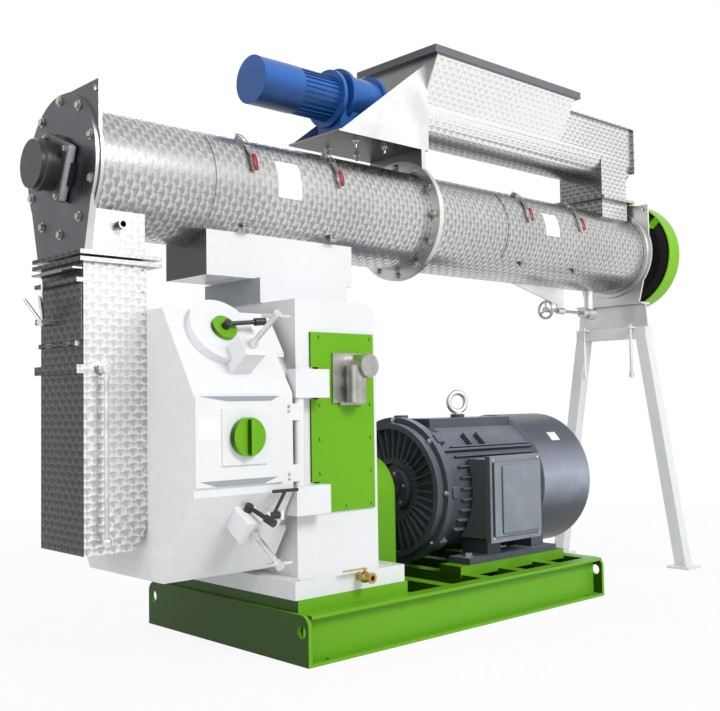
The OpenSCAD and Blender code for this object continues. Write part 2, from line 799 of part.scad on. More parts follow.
// Guard over the coupling, open below, bolted to the deck
guard_x1 = -110;
guard_y = 165;
guard_t = 5;
module coupling_guard() {
 guard_x0 = gearbox_x1 + main_flange_t + gap;
 top_z = motor_z;
 color(green_c)
  difference() {
   union() {
    block([plinth_x1, guard_x1], [-guard_y, guard_y], [base_h, top_z]);
    block([guard_x0, plinth_x1 + over], [-guard_y, guard_y], [plinth_z + foot_h, top_z]);
    bar_x([guard_x0, guard_x1], 0, top_z, guard_y);
   }
   block([gearbox_x1 - over, guard_x1 - guard_t], [guard_t - guard_y, guard_y - guard_t],
    [base_h - over, top_z]);
   bar_x([gearbox_x1 - over, guard_x1 - guard_t], 0, top_z, guard_y - guard_t);
   bar_x([guard_x1 - 2 * guard_t, guard_x1 + over], 0, motor_z, motor_shaft_r + gap * 4);
  }
}

// Press door: octagonal casing with feed tube, knife blocks, hinge tube and side panel
casing_y = casing_w / 2;
casing_z0 = 315;
casing_z1 = casing_z0 + casing_h;
chamfer_y = 190;
chamfer_z = 300;
front_t = 10;
feed_hole_r = 105;
feed_tube_r = 200;
feed_tube_gap = 12;
near_wall_gap = 44;
near_wall_x1 = hinge_x - near_wall_gap;
discharge_x = 140;
discharge_y = 190;
panel_inset = [2, 99];
panel_x0 = casing_x0 + panel_inset[0];
panel_x1 = hinge_x - panel_inset[1];
panel_z0 = 640;
panel_z1 = 955;
panel_t = 10;
panel_bevel = 8;
knob_x = -1120;
knob_z = 812;
knob_pad = 95;
knob_r = 66;
knob_t = 26;
knob_pin_r = 10;
knife_x = die_x0 + die_w / 2;
knife_block = 84;
knife_block_r0 = 425;
knife_block_r1 = 575;
lever_seat_drop = 70;
rod_end_drop = 45;
screw_drop = 120;
screw_out = 170;
lever_seat_r = knife_block_r1 - lever_seat_drop;
knife_rod_r = 24;
knife_rod_r1 = knife_block_r1 - rod_end_drop;
screw_bar_r = 10;
screw_r0 = knife_block_r1 - screw_drop;
screw_r1 = knife_block_r1 + screw_out;
screw_travel = 35;
disc_x = -1125;
disc_share = 0.7;
disc_r = 48;
disc_boss_r = 130;
disc_boss_h = 38;
disc_h = 50;
function octagon(y, z0, z1, cut_y, cut_z) = [[-y, z0 + cut_z], [cut_y - y, z0], [y - cut_y, z0],
 [y, z0 + cut_z], [y, z1 - cut_z], [y - cut_y, z1], [cut_y - y, z1], [-y, z1 - cut_z]];

// Places a shape whose own Z runs outward along a knife screw, side 1 is the upper one
module knife_axis(side) {
 translate([knife_x, 0, die_z])
  rotate([90 - side * knife_slope, 0, 0])
   children();
}
// Places a shape whose own Z runs out of the upper chamfer at the lever disc
module disc_axis() {
 translate([disc_x, chamfer_y * disc_share - casing_y, casing_z1 - chamfer_z * (1 - disc_share)])
  rotate([atan2(chamfer_z, chamfer_y), 0, 0])
   children();
}
module door_casing() {
 inner_y = casing_y - casing_t;
 color(white_c)
  difference() {
   union() {
    difference() {
     plate_x([casing_x0, casing_x1])
      polygon(octagon(casing_y, casing_z0, casing_z1, chamfer_y, chamfer_z));
     plate_x([casing_x0 + front_t, casing_x1 + over])
      polygon(octagon(inner_y, casing_z0 + casing_t, casing_z1 - casing_t,
       chamfer_y - casing_t / 2, chamfer_z - casing_t / 2));
     block([near_wall_x1, casing_x1 + over], [-casing_y - over, chamfer_y / 2 - casing_y],
      [casing_z0 + chamfer_z / 2, casing_z1 - chamfer_z / 2]);
    }
    tube_x([casing_x0, die_x0 - feed_tube_gap], 0, die_z, feed_tube_r, feed_tube_r - casing_t / 2);
    plate_x([panel_x0, panel_x1])
     polygon([[over - casing_y, panel_z0], [-casing_y, panel_z0],
      [-casing_y - panel_t, panel_z0 + panel_bevel],
      [-casing_y - panel_t, panel_z1 - panel_bevel], [-casing_y, panel_z1], [over - casing_y, panel_z1]]);
    block(mid(knob_x, knob_pad), [-casing_y - panel_t - casing_t, -casing_y - panel_t],
     mid(knob_z, knob_pad));
    for (side = [-1, 1])
     knife_axis(side)
      translate([-knife_block / 2, -knife_block / 2, knife_block_r0])
       cube([knife_block, knife_block, knife_block_r1 - knife_block_r0]);
    disc_axis()
     translate([0, 0, -casing_t / 2]) {
      cylinder(h = disc_boss_h, r = disc_boss_r);
      cylinder(h = disc_h + casing_t / 2, r = disc_r);
     }
    for (end = [-1, 1])
     block(mid(bolt_x + end * bolt_ear_x, bolt_pin_r), [bolt_y - bolt_eye_r, bolt_y + bolt_ear_l],
      mid(bolt_z, bolt_eye_r));
    bar_z(hinge_x, hinge_y, [hinge_z0 + seat, hinge_z1 - seat], hinge_tube_r);
    for (z = [hinge_z0 + hinge_tube_r, hinge_z1 - hinge_tube_r * 4])
     block([near_wall_x1 - over, hinge_x], [-casing_y, hinge_y + hinge_tube_r / 2],
      on(z, hinge_tube_r * 3));
   }
   bar_x([casing_x0 - over, casing_x0 + front_t + over], 0, die_z, feed_hole_r);
   block([casing_x0 + discharge_x / 2, casing_x1 - discharge_x], [-discharge_y, discharge_y],
    [casing_z0 - over, casing_z0 + casing_t + over]);
   for (side = [-1, 1])
    knife_axis(side) {
     translate([0, 0, knife_block_r0 - casing_y / 4])
      cylinder(h = knife_block_r1 - front_t - knife_block_r0 + casing_y / 4, r = knife_rod_r + fit);
     cylinder(h = knife_block_r1 + over, r = screw_bar_r + fit);
    }
   knife_axis(-1)
    translate([0, knife_block / 4, lever_seat_r])
     rotate([-90, 0, 0])
      cylinder(h = knife_block, r = screw_bar_r + fit);
   disc_axis()
    cylinder(h = disc_h + over, r = screw_bar_r + fit);
   bar_z(hinge_x, hinge_y, [hinge_z0 - over, hinge_z1 + over], hinge_pin_r + fit);
   bar_y(knob_x, [-casing_y - panel_t - casing_t - over, -casing_y + over], knob_z, knob_pin_r + fit);
   bar_x(mid(bolt_x, 2 * bolt_ear_x), bolt_y, bolt_z, bolt_pin_r + fit);
  }
}
module door_knob() {
 y1 = -casing_y - panel_t - casing_t;
 color(green_c) {
  bar_y(knob_x, [y1 - knob_t, y1 - seat], knob_z, knob_r);
  bar_y(knob_x, [y1 - over, -casing_y - over], knob_z, knob_pin_r);
  block(mid(knob_x, knob_pin_r), [y1 - knob_t * 1.8, y1 - knob_t / 2],
   mid(knob_z, knob_r * 0.9));
 }
}

// Knives: a rod that slides in the block, with a blade beside the die
blade_gap = 4;
blade_h = 60;
blade_t = 22;
module knife(side) {
 color(steel_c)
  knife_axis(side)
   difference() {
    union() {
     translate([0, 0, die_r + die_t + blade_gap + blade_h / 2])
      cylinder(h = knife_rod_r1 - die_r - die_t - blade_gap - blade_h / 2, r = knife_rod_r);
     translate([-die_w * 0.45, -blade_t / 2, die_r + die_t + blade_gap])
      cube([die_w * 0.9, blade_t, blade_h]);
    }
    translate([0, 0, screw_r0 - screw_travel - 4 * over])
     cylinder(h = knife_rod_r1, r = screw_bar_r + fit);
   }
}
module knife_upper() knife(1);
module knife_lower() knife(-1);
tee_l = 110;
tee_r = 7;
collar_r = 17;
module knife_screw(side) {
 color(steel_c)
  knife_axis(side) {
   translate([0, 0, screw_r0])
    cylinder(h = screw_r1 - screw_r0, r = screw_bar_r);
   translate([0, 0, knife_block_r1 + seat])
    cylinder(h = collar_r, r = collar_r);
   translate([0, 0, screw_r1 - collar_r])
    cylinder(h = collar_r * 1.4, r = collar_r * 0.9);
   translate([-tee_l / 2, 0, screw_r1 - collar_r / 2])
    rotate([0, 90, 0])
     cylinder(h = tee_l, r = tee_r);
  }
}
module knife_screw_upper() knife_screw(1);
module knife_screw_lower() knife_screw(-1);

// Clamp levers, the upper one on the disc and the lower one on the knife block
lever_l = 125;
lever_r = 8;
grip_r = 14;
grip_l = 42;
hub_r = 15;
module clamp_lever(l, tilt) {
 cylinder(h = hub_r * 1.6, r = hub_r);
 translate([0, 0, hub_r])
  rotate([0, tilt, 0]) {
   cylinder(h = l, r = lever_r);
   translate([0, 0, l - grip_l])
    cylinder(h = grip_l, r = grip_r);
  }
}
module clamp_lever_upper() {
 color(black_c)
  disc_axis() {
   translate([0, 0, over])
    cylinder(h = disc_h, r = screw_bar_r);
   translate([0, 0, disc_h + seat])
    clamp_lever(lever_l * 1.2, 80);
  }
}
module clamp_lever_lower() {
 color(black_c)
  knife_axis(-1)
   translate([0, knife_block / 2, lever_seat_r])
    rotate([-90, 0, 0]) {
     translate([0, 0, over - knife_block / 4])
      cylinder(h = knife_block / 4, r = screw_bar_r);
     translate([0, 0, seat])
      rotate([0, 0, -80])
       clamp_lever(lever_l, 80);
    }
}

// Swing bolt with a T bar, pinned in an eye on the near side of the casing
bolt_x = -1010;
bolt_out = 22;
bolt_y = -casing_y - bolt_out;
bolt_z = 535;
bolt_eye_r = 16;
bolt_ear_x = 30;
bolt_ear_l = 100;
bolt_pin_r = 6;
bolt_l = 100;
bolt_lean = 34;
module swing_bolt() {
 color(dark_c)
  translate([bolt_x, bolt_y, bolt_z]) {
   bar_x(mid(0, bolt_ear_x - bolt_pin_r - seat), 0, 0, bolt_eye_r * 0.8);
   bar_x(mid(0, bolt_ear_x + bolt_pin_r), 0, 0, bolt_pin_r);
   rotate([0, bolt_lean, 0]) {
    cylinder(h = bolt_l, r = bolt_pin_r);
    translate([0, 0, bolt_l])
     rotate([0, 90 - bolt_lean, 0])
      translate([0, 0, -tee_l / 2])
       cylinder(h = tee_l, r = bolt_pin_r);
   }
  }
}

// Feed chute on the door: duct with flange, inspection opening, lip and outlet corner
chute_y = chute_w / 2;
chute_lip = 23;
chute_rim_t = 15;
chute_rim_end = 50;
chute_rim_x1 = chute_x1 + chute_rim_end;
flange_gap = 9;
chute_z1 = throat_z - chute_rim_t - flange_gap;
chute_z0 = chute_z1 - chute_h;
corner_x = 47;
corner_z = 88;
gate_drop = 32;
gate_t = 6;
gate_lip = 38;
door_bar_drop = 84;
door_side = 10;
door_frame = 28;
hinge_drop = 290;
pin_r = 4;
knuckle_r = 8;
knuckle_l = 40;
flap_inset = 66;
flap_drop = 376;
flap_x = chute_x0 + flap_inset;
flap_z = chute_z1 - flap_drop;
flap_shaft_r = 12;
flap_l = 330;
flap_t = 6;
flap_lean = 22;
lip_drop = 392;
lip_h = 30;
lip_out = 25;
hatch_x = chute_x0 - sheet_t - knuckle_r;
hatch_z = chute_z1 - hinge_drop;
module feed_chute() {
 inner = chute_y - sheet_t;
 color(steel_c)
  difference() {
   union() {
    plate_y([-chute_y, chute_y])
     polygon([[chute_x0, chute_z0], [chute_x1 - corner_x, chute_z0], [chute_x1, chute_z0 + corner_z],
      [chute_x1, chute_z1], [chute_x0, chute_z1]]);
    block([chute_x0 - chute_lip, chute_rim_x1], [-chute_y - chute_lip,
     chute_y + chute_lip], [chute_z1 - chute_rim_t, chute_z1]);
    block([chute_x0 - lip_out, chute_x0 + over], [-chute_y, chute_y],
     [chute_z1 - lip_drop, chute_z1 - lip_drop + lip_h]);
    block([chute_x0 - lip_out, chute_x0 + over], [-chute_y, chute_y],
     [chute_z1 - door_bar_drop, chute_z1 - door_bar_drop + lip_h / 2]);
    bar_y(flap_x, [-chute_y - over, chute_y + over], flap_z, flap_shaft_r * 2);
    for (y = [-1, 0, 1])
     block([hatch_x - knuckle_r, chute_x0 + over],
      mid(y * chute_y * 0.8, knuckle_l / 4),
      mid(hatch_z, knuckle_r));
    bar_y(hatch_x, [-chute_y * 0.8, chute_y * 0.8], hatch_z, pin_r);
   }
   plate_y([-inner, inner])
    polygon([[chute_x0 + sheet_t, chute_z0 - over], [chute_x1 - corner_x - sheet_t, chute_z0 - over],
     [chute_x1 - sheet_t, chute_z0 + corner_z], [chute_x1 - sheet_t, chute_z1 + over],
     [chute_x0 + sheet_t, chute_z1 + over]]);
   block([chute_x0 - over, chute_x0 + sheet_t + over], [door_frame - chute_y, chute_y - door_frame],
    [hatch_z + door_frame, chute_z1 - door_bar_drop - door_frame / 2]);
   block([chute_x0 - over, chute_x0 + sheet_t + over], [-inner, inner],
    [chute_z1 - gate_drop - gate_t - gap, chute_z1 - gate_drop]);
   bar_x([chute_x1 - sheet_t - over, chute_x1 + over], 0, die_z, feed_hole_r - over);
   bar_y(flap_x, [-chute_y - 2 * over, chute_y + 2 * over], flap_z, flap_shaft_r + fit);
  }
}
module slide_gate() {
 inner = chute_y - sheet_t - seat;
 z = chute_z1 - gate_drop - gate_t - gap / 2;
 color(steel_c) {
  block([chute_x0 - gate_lip, chute_x1 - sheet_t - gap], [-inner, inner], on(z, gate_t));
  block([chute_x0 - gate_lip - gate_t, chute_x0 - gate_lip], [-inner / 2, inner / 2], mid(z, gate_t));
 }
}
lever_out = 34;
lever_drop = 583;
ball_r = 18;
arm_r = 8;
module chute_lever() {
 color(steel_c) {
  bar_y(flap_x, [-chute_y - lever_out - arm_r, chute_y + 2 * over], flap_z, flap_shaft_r);
  bar_y(flap_x, [-chute_y - lever_out - arm_r * 2, -chute_y - over * 2], flap_z, flap_shaft_r * 1.6);
  translate([flap_x, 0, flap_z])
   rotate([0, -flap_lean, 0])
    block([-flap_t / 2, flap_t / 2], [sheet_t + gap - chute_y, chute_y - sheet_t - gap], [-flap_l, 0]);
  bar_z(flap_x, -chute_y - lever_out, [flap_z - lever_drop, flap_z], arm_r);
  translate([flap_x, -chute_y - lever_out, flap_z - lever_drop])
   sphere(r = ball_r);
 }
}
clamp_y = 84;
clamp_rise = 85;
clamp_z = hatch_z + clamp_rise;
clamp_pin_l = 56;
clamp_arm_l = 105;
clamp_ear_t = 10;
clamp_out = 28;
clamp_x = chute_x0 - sheet_t - clamp_out;
module chute_door() {
 y = chute_y - door_side;
 color(steel_c)
  difference() {
   union() {
    block([chute_x0 - sheet_t, chute_x0 - seat], [-y, y],
     [hatch_z + knuckle_r * 1.5, chute_z1 - door_bar_drop - gap]);
    for (side = [-1, 1]) {
     bar_y(hatch_x, mid(side * chute_y * 0.4, knuckle_l / 2),
      hatch_z, knuckle_r);
     block([hatch_x, chute_x0 - seat], [side * chute_y * 0.4 - knuckle_l / 2,
      side * chute_y * 0.4 + knuckle_l / 2], [hatch_z + gap, hatch_z + knuckle_r * 2]);
     block([clamp_x - clamp_ear_t, chute_x0 - seat], [clamp_y + side * clamp_pin_l / 2 - clamp_ear_t / 2,
      clamp_y + side * clamp_pin_l / 2 + clamp_ear_t / 2], mid(clamp_z, clamp_ear_t));
    }
   }
   bar_y(hatch_x, [-chute_y, chute_y], hatch_z, pin_r + fit);
   bar_y(clamp_x, mid(clamp_y, clamp_pin_l), clamp_z, pin_r + fit);
  }
}
module chute_clamp() {
 half = (clamp_pin_l + clamp_ear_t) / 2;
 color(steel_c) {
  bar_y(clamp_x, mid(clamp_y, half), clamp_z, pin_r);
  bar_y(clamp_x, mid(clamp_y, half - clamp_ear_t - gap), clamp_z, knuckle_r * 1.4);
  bar_z(clamp_x, clamp_y, [clamp_z, chute_z1 - door_bar_drop + lip_h], pin_r);
  for (side = [-1, 1])
   translate([clamp_x, clamp_y + side * knuckle_r * 0.9, clamp_z])
    rotate([-side * 30, -24, 0])
     cylinder(h = clamp_arm_l, r = knuckle_r * 0.8);
 }
}

// Fixed outlet throat between the drum and the chute, with the steam nipple
throat_l = 214;
nipple_inset = 112;
nipple_rise = 99;
throat_x1 = drum_x0 + throat_l;
nipple_x = drum_x0 + nipple_inset;
nipple_z = throat_z + nipple_rise;
nipple_r = 17;
nipple_bore_r = 11;
nipple_l = 30;
module outlet_throat() {
 inner = chute_y - sheet_t;
 color(steel_c)
  difference() {
   union() {
    block([drum_x0, throat_x1], [-chute_y, chute_y], [throat_z - chute_rim_t, drum_z]);
    block([chute_x0 - chute_lip, chute_rim_x1], [-chute_y - chute_lip,
     chute_y + chute_lip], [throat_z - chute_rim_t, throat_z]);
    bar_y(nipple_x, [-chute_y - nipple_l, over - chute_y], nipple_z, nipple_r);
   }
   block([drum_x0 + sheet_t, throat_x1 - sheet_t], [-inner, inner],
    [throat_z - chute_rim_t - over, drum_z + over]);
   bar_x([drum_x0 - over, throat_x1 + over], 0, drum_z, drum_r + seat);
   bar_y(nipple_x, [-chute_y - nipple_l - over, 2 * over - chute_y], nipple_z, nipple_bore_r);
  }
}

// Conditioner drum with its openings, flange, door hinges and latch hooks
rim_reach = 511;
rim_x = gearbox_x1 + rim_reach;
rim_t = 26;
rim_r = 275;
mid_bolts = 12;
door_a0 = -40;
door_a1 = 50;
left_door_inset = [476, 1260];
right_door_inset = [1218, 430];
left_door_x = [drum_x0 + left_door_inset[0], drum_x0 + left_door_inset[1]];
right_door_x = [drum_x1 - right_door_inset[0], drum_x1 - right_door_inset[1]];
door_lap = 25;
door_t = 3.5;
drum_hinge_a = -43.5;
hinge_out = 12;
drum_hinge_r = drum_r + hinge_out;
latch_a = 41;
hook_a = 57;
latch_share = 0.22;
latch_pin_r = 3;
spout_inset = [282, 37];
spout_x = [drum_x1 - spout_inset[0], drum_x1 - spout_inset[1]];
spout_y = 140;
// Places a shape whose own Z runs outward from the drum axis, 0 degrees is the near side
module drum_axis(a) {
 translate([0, 0, drum_z])
  rotate([90 - a, 0, 0])
   children();
}
module shell_sector(x, r0, r1, a0, a1) {
 translate([x[0], 0, drum_z])
  rotate([0, 90, 0])
   rotate([0, 0, -90 - a1])
    rotate_extrude(angle = a1 - a0)
     translate([r0, 0])
      square([r1 - r0, x[1] - x[0]]);
}
function along(x, share) = x[0] + (x[1] - x[0]) * share;
module hinge_seats(x) {
 for (share = [latch_share, 1 - latch_share])
  drum_axis(drum_hinge_a) {
   for (side = [-1, 1])
    translate([along(x, share) + side * (knuckle_l / 2 + pin_r) - pin_r / 2, -pin_r, drum_r - drum_t / 2])
     cube([pin_r, pin_r * 2, drum_hinge_r - drum_r + drum_t]);
   translate([along(x, share) - knuckle_l / 2 - pin_r * 1.5, 0, drum_hinge_r])
    rotate([0, 90, 0])
     cylinder(h = knuckle_l + pin_r * 3, r = pin_r);
  }
}
module latch_hooks(x) {
 for (share = [latch_share, 1 - latch_share])
  drum_axis(hook_a)
   translate([along(x, share) - hub_r / 2, -hub_r, drum_r - drum_t])
    cube([hub_r, hub_r * 2, drum_t + hub_r]);
}
module conditioner_drum() {
 color(steel_c)
  difference() {
   union() {
    tube_x([drum_x0, drum_x1], 0, drum_z, drum_r, drum_r - drum_t);
    tube_x(on(rim_x, rim_t), 0, drum_z, rim_r, drum_r - drum_t);
    for (x = [left_door_x, right_door_x]) {
     hinge_seats(x);
     latch_hooks(x);
    }
   }
   for (x = [left_door_x, right_door_x])
    shell_sector([x[0] + door_lap, x[1] - door_lap], drum_r - drum_t * 2, drum_r + over / 5,
     door_a0 + 6, door_a1 - 6);
   block([drum_x0 + sheet_t, throat_x1 - sheet_t], [sheet_t - saddle_y, saddle_y - sheet_t],
    [drum_z - drum_r - over, drum_z]);
   block([spout_x[0] + door_lap, spout_x[1] - door_lap], [door_lap - spout_y, spout_y - door_lap],
    on(drum_z, drum_r + over));
   holes_x(on(rim_x, rim_t), 0, drum_z, (rim_r + drum_r) / 2, bolt_r, mid_bolts);
  }
}
module drum_door(x) {
 color(steel_c)
  difference() {
   union() {
    shell_sector(x, drum_r + seat, drum_r + door_t, door_a0, door_a1);
    for (share = [latch_share, 1 - latch_share]) {
     drum_axis(drum_hinge_a)
      translate([along(x, share) - knuckle_l / 2, 0, drum_hinge_r])
       rotate([0, 90, 0])
        cylinder(h = knuckle_l, r = knuckle_r);
     drum_axis(door_a0 + 0.5)
      translate([along(x, share) - knuckle_l / 2, -pin_r * 3, drum_r + door_t / 4])
       cube([knuckle_l, pin_r * 3, knuckle_r]);
     for (side = [-1, 1])
      drum_axis(latch_a)
       translate([along(x, share) + side * hub_r - pin_r / 2, -hub_r / 2, drum_r + door_t / 2])
        cube([pin_r, hub_r, hub_r]);
    }
   }
   for (share = [latch_share, 1 - latch_share]) {
    drum_axis(drum_hinge_a)
     translate([along(x, share) - knuckle_l, 0, drum_hinge_r])
      rotate([0, 90, 0])
       cylinder(h = knuckle_l * 2, r = pin_r + fit);
    drum_axis(latch_a)
     translate([along(x, share) - knuckle_l, 0, drum_r + door_t / 2 + hub_r * 0.6])
      rotate([0, 90, 0])
       cylinder(h = knuckle_l * 2, r = latch_pin_r + fit);
   }
  }
}
module drum_door_left() drum_door(left_door_x);
module drum_door_right() drum_door(right_door_x);
latch_l = 70;
latch_w = 20;
module latch(x) {
 color(red_c)
  drum_axis(latch_a)
   translate([x, 0, drum_r + door_t / 2 + hub_r * 0.6]) {
    translate([-hub_r - pin_r, 0, 0])
     rotate([0, 90, 0])
      cylinder(h = 2 * (hub_r + pin_r), r = latch_pin_r);
    translate([-latch_w / 2, -latch_l, -latch_pin_r])
     cube([latch_w, latch_l + latch_pin_r, latch_pin_r * 2]);
   }
}
module latch_left_1() latch(along(left_door_x, latch_share));
module latch_left_2() latch(along(left_door_x, 1 - latch_share));
module latch_right_1() latch(along(right_door_x, latch_share));
module latch_right_2() latch(along(right_door_x, 1 - latch_share));

// Drum ends: plates with one square ear, the left one with a round bolted cover
end_t = 12;
end_half = 250;
end_rise = 262;
end_round_r = 266;
end_neck = 177;
left_cover_t = 15;
left_cover_r = 258;
cover_bolts = 10;
cover_pcd_r = 236;
ear_r = 11;
ear_inset = 26;
bearing_r = 85;
bearing_l = 108;
seat_ring_r = 110;
seat_ring_t = 16;
module end_outline(low_z) {
 difference() {
  union() {
   circle(r = end_round_r);
   translate([-end_half, 0])
    square([end_half, end_rise]);
   polygon([[-end_half, 0], [end_half, 0], [end_neck, low_z], [-end_neck, low_z]]);
  }
  translate([ear_inset - end_half, end_rise - ear_inset])
   circle(r = ear_r);
 }
}
module drum_left_end() {
 low = throat_z - drum_z;
 x1 = drum_x0;
 color(steel_c)
  difference() {
   union() {
    plate_x([x1 - end_t, x1])
     translate([0, drum_z])
      end_outline(low);
    plate_x([x1 - end_t - left_cover_t, x1 - end_t])
     translate([0, drum_z]) {
      circle(r = left_cover_r);
      polygon([[-left_cover_r, 0], [left_cover_r, 0], [end_neck, low], [-end_neck, low]]);
     }
   }
   bar_x([x1 - bearing_l, x1 + over], 0, drum_z, paddle_shaft_r + gap);
   holes_x([x1 - end_t - left_cover_t, x1 - end_t], 0, drum_z, cover_pcd_r, bolt_r, cover_bolts, 18);
  }
}
module drum_right_end() {
 low = support_z1 - drum_z;
 x0 = drum_x1;
 color(steel_c)
  difference() {
   plate_x(on(x0, end_t))
    translate([0, drum_z])
     end_outline(low);
   bar_x([x0 - over, x0 + end_t + over], 0, drum_z, paddle_shaft_r + gap);
   holes_x(on(x0, end_t), 0, drum_z, cover_pcd_r, bolt_r, cover_bolts);
  }
}
module bearing(x0, dir) {
 base = x0 + dir * seat_ring_t;
 end = x0 + dir * bearing_l;
 bar_x([min(x0, base), max(x0, base)], 0, drum_z, seat_ring_r);
 bar_x([min(x0, end), max(x0, end)], 0, drum_z, bearing_r);
}
right_bearing_l = 60;
module conditioner_bearings() {
 left_x = drum_x0 - end_t - left_cover_t;
 right_x = drum_x1 + end_t;
 color(black_c)
  difference() {
   union() {
    bearing(left_x, -1);
    bar_x(on(right_x, seat_ring_t), 0, drum_z, seat_ring_r);
    bar_x(on(right_x, right_bearing_l), 0, drum_z, bearing_r);
   }
   bar_x([left_x - bearing_l + end_t, right_x + right_bearing_l + over], 0, drum_z, paddle_shaft_r + fit);
  }
}

// Paddle shaft through the drum and the pulley on its right end
paddle_rod_r = 10;
paddle_tip_gap = 9;
paddle_blade_w = 64;
paddle_blade_h = 72;
paddle_blade_t = 6;
paddle_angle = 30;
pulley_reach = 140;
pulley_x0 = drum_x1 + pulley_reach;
pulley_w = 68;
pulley_bore_r = 34;
grooves = 4;
groove_d = 12;
module conditioner_shaft() {
 x0 = drum_x0 - end_t - left_cover_t - bearing_l + end_t + gap;
 inner_r = drum_r - drum_t;
 step = (drum_l - 2 * paddle_blade_w) / (paddles - 1);
 color(steel_c) {
  bar_x([x0, pulley_x0 - gap], 0, drum_z, paddle_shaft_r);
  bar_x([x0, pulley_x0 + pulley_w + gap], 0, drum_z, pulley_bore_r);
  for (i = [0:paddles - 1])
   translate([drum_x0 + paddle_blade_w + step * i, 0, drum_z])
    rotate([90 * i, 0, 0]) {
     cylinder(h = inner_r - paddle_tip_gap - paddle_blade_h / 2, r = paddle_rod_r);
     rotate([0, 0, 90 - paddle_angle])
      translate([-paddle_blade_w / 2, -paddle_blade_t / 2, inner_r - paddle_tip_gap - paddle_blade_h])
       cube([paddle_blade_w, paddle_blade_t, paddle_blade_h - paddle_tip_gap]);
    }
 }
}
module conditioner_pulley() {
 pitch = pulley_w / (grooves + 1);
 color(black_c)
  difference() {
   bar_x(on(pulley_x0, pulley_w), 0, drum_z, pulley_r);
   bar_x([pulley_x0 - over, pulley_x0 + pulley_w + over], 0, drum_z, pulley_bore_r + fit);
   for (x = [pulley_x0 - over, pulley_x0 + pulley_w * 0.7])
    tube_x(on(x, over + pulley_w * 0.3), 0, drum_z, pulley_r * 0.84, pulley_r * 0.28);
   for (i = [0:grooves - 1])
    tube_x([pulley_x0 + pitch * (i + 0.7), pulley_x0 + pitch * (i + 1.3)], 0, drum_z,
     pulley_r + over, pulley_r - groove_d);
  }
}
guard_rim_gap = 14;
guard_sheet = 6;
guard_reach = 130;
guard_x = drum_x1 + guard_reach;
guard_depth = 105;
strut_w = 40;
module struts(x, z) {
 for (a = [-50, 50])
  translate([0, 0, drum_z])
   rotate([a, 0, 0])
    block(x, [-strut_w / 2, strut_w / 2], z);
}
module pulley_guard() {
 r = pulley_r + guard_rim_gap + guard_sheet;
 color(green_c)
  difference() {
   union() {
    bar_x(on(guard_x, guard_depth), 0, drum_z, r);
    struts([drum_x1 + end_t, guard_x + over], on(end_round_r - strut_w / 2, guard_sheet));
   }
   bar_x([guard_x + guard_sheet, guard_x + guard_depth - guard_sheet], 0, drum_z, r - guard_sheet);
   difference() {
    bar_x([guard_x - over, guard_x + guard_sheet * 2], 0, drum_z, r - guard_sheet);
    struts([drum_x1, guard_x + guard_sheet], [end_round_r - strut_w / 2, r]);
   }
  }
}

// Support: bracket plate, crossbar and hanging rods, and two sloping legs
support_drop = 290;
support_z1 = drum_z - support_drop;
bracket_h = 138;
bracket_half = 230;
bracket_t = 10;
bracket_flange = 90;
leg_top_z = support_z1 - bracket_h - leg_tube;
leg_top_y = 200;
rod_y = 155;
rod_r = 8;
rod_drop = 222;
rod_end_r = 13;
rod_end_l = 36;
leg_x = drum_x1 + end_t / 2;
module support_bracket() {
 color(steel_c) {
  block(mid(leg_x, bracket_flange / 2), [-end_neck - strut_w, end_neck + strut_w],
   [support_z1 - bracket_t, support_z1]);
  plate_x(mid(leg_x, bracket_t / 2))
   polygon([[-end_neck - strut_w, support_z1], [end_neck + strut_w, support_z1],
    [bracket_half, support_z1 - bracket_h], [-bracket_half, support_z1 - bracket_h]]);
  block(mid(leg_x, leg_tube / 2), [-bracket_half, bracket_half],
   on(leg_top_z, leg_tube));
  for (side = [-1, 1]) {
   bar_z(leg_x - leg_tube, side * rod_y, [leg_top_z - rod_drop, leg_top_z + leg_tube + rod_end_r], rod_r);
   bar_z(leg_x - leg_tube, side * rod_y, [leg_top_z - rod_drop, leg_top_z - rod_drop + rod_end_l], rod_end_r);
   block([leg_x - leg_tube - rod_end_r * 1.5, leg_x], mid(side * rod_y, rod_end_r),
    [leg_top_z + leg_tube - bracket_t, leg_top_z + leg_tube]);
  }
 }
}
foot_plate = 130;
foot_plate_t = 12;
foot_hole_r = 9;
module support_legs() {
 run = feet_span / 2 - leg_top_y;
 lean = atan2(run, leg_top_z);
 color(white_c)
  for (side = [-1, 1])
   scale([1, side, 1]) {
    intersection() {
     translate([leg_x, leg_top_y, leg_top_z])
      rotate([lean, 0, 0])
       block([-leg_tube / 2, leg_tube / 2], [-leg_tube / 2, leg_tube / 2],
        [-leg_top_z * 1.2, leg_tube]);
     block(mid(leg_x, leg_tube), [0, feet_span], [0, leg_top_z]);
    }
    difference() {
     block(mid(leg_x, foot_plate / 2),
      mid(feet_span / 2, foot_plate / 2), [0, foot_plate_t]);
     for (end = [-1, 1])
      bar_z(leg_x + end * foot_plate * 0.38, feet_span / 2, [-over, foot_plate_t + over], foot_hole_r);
    }
   }
}

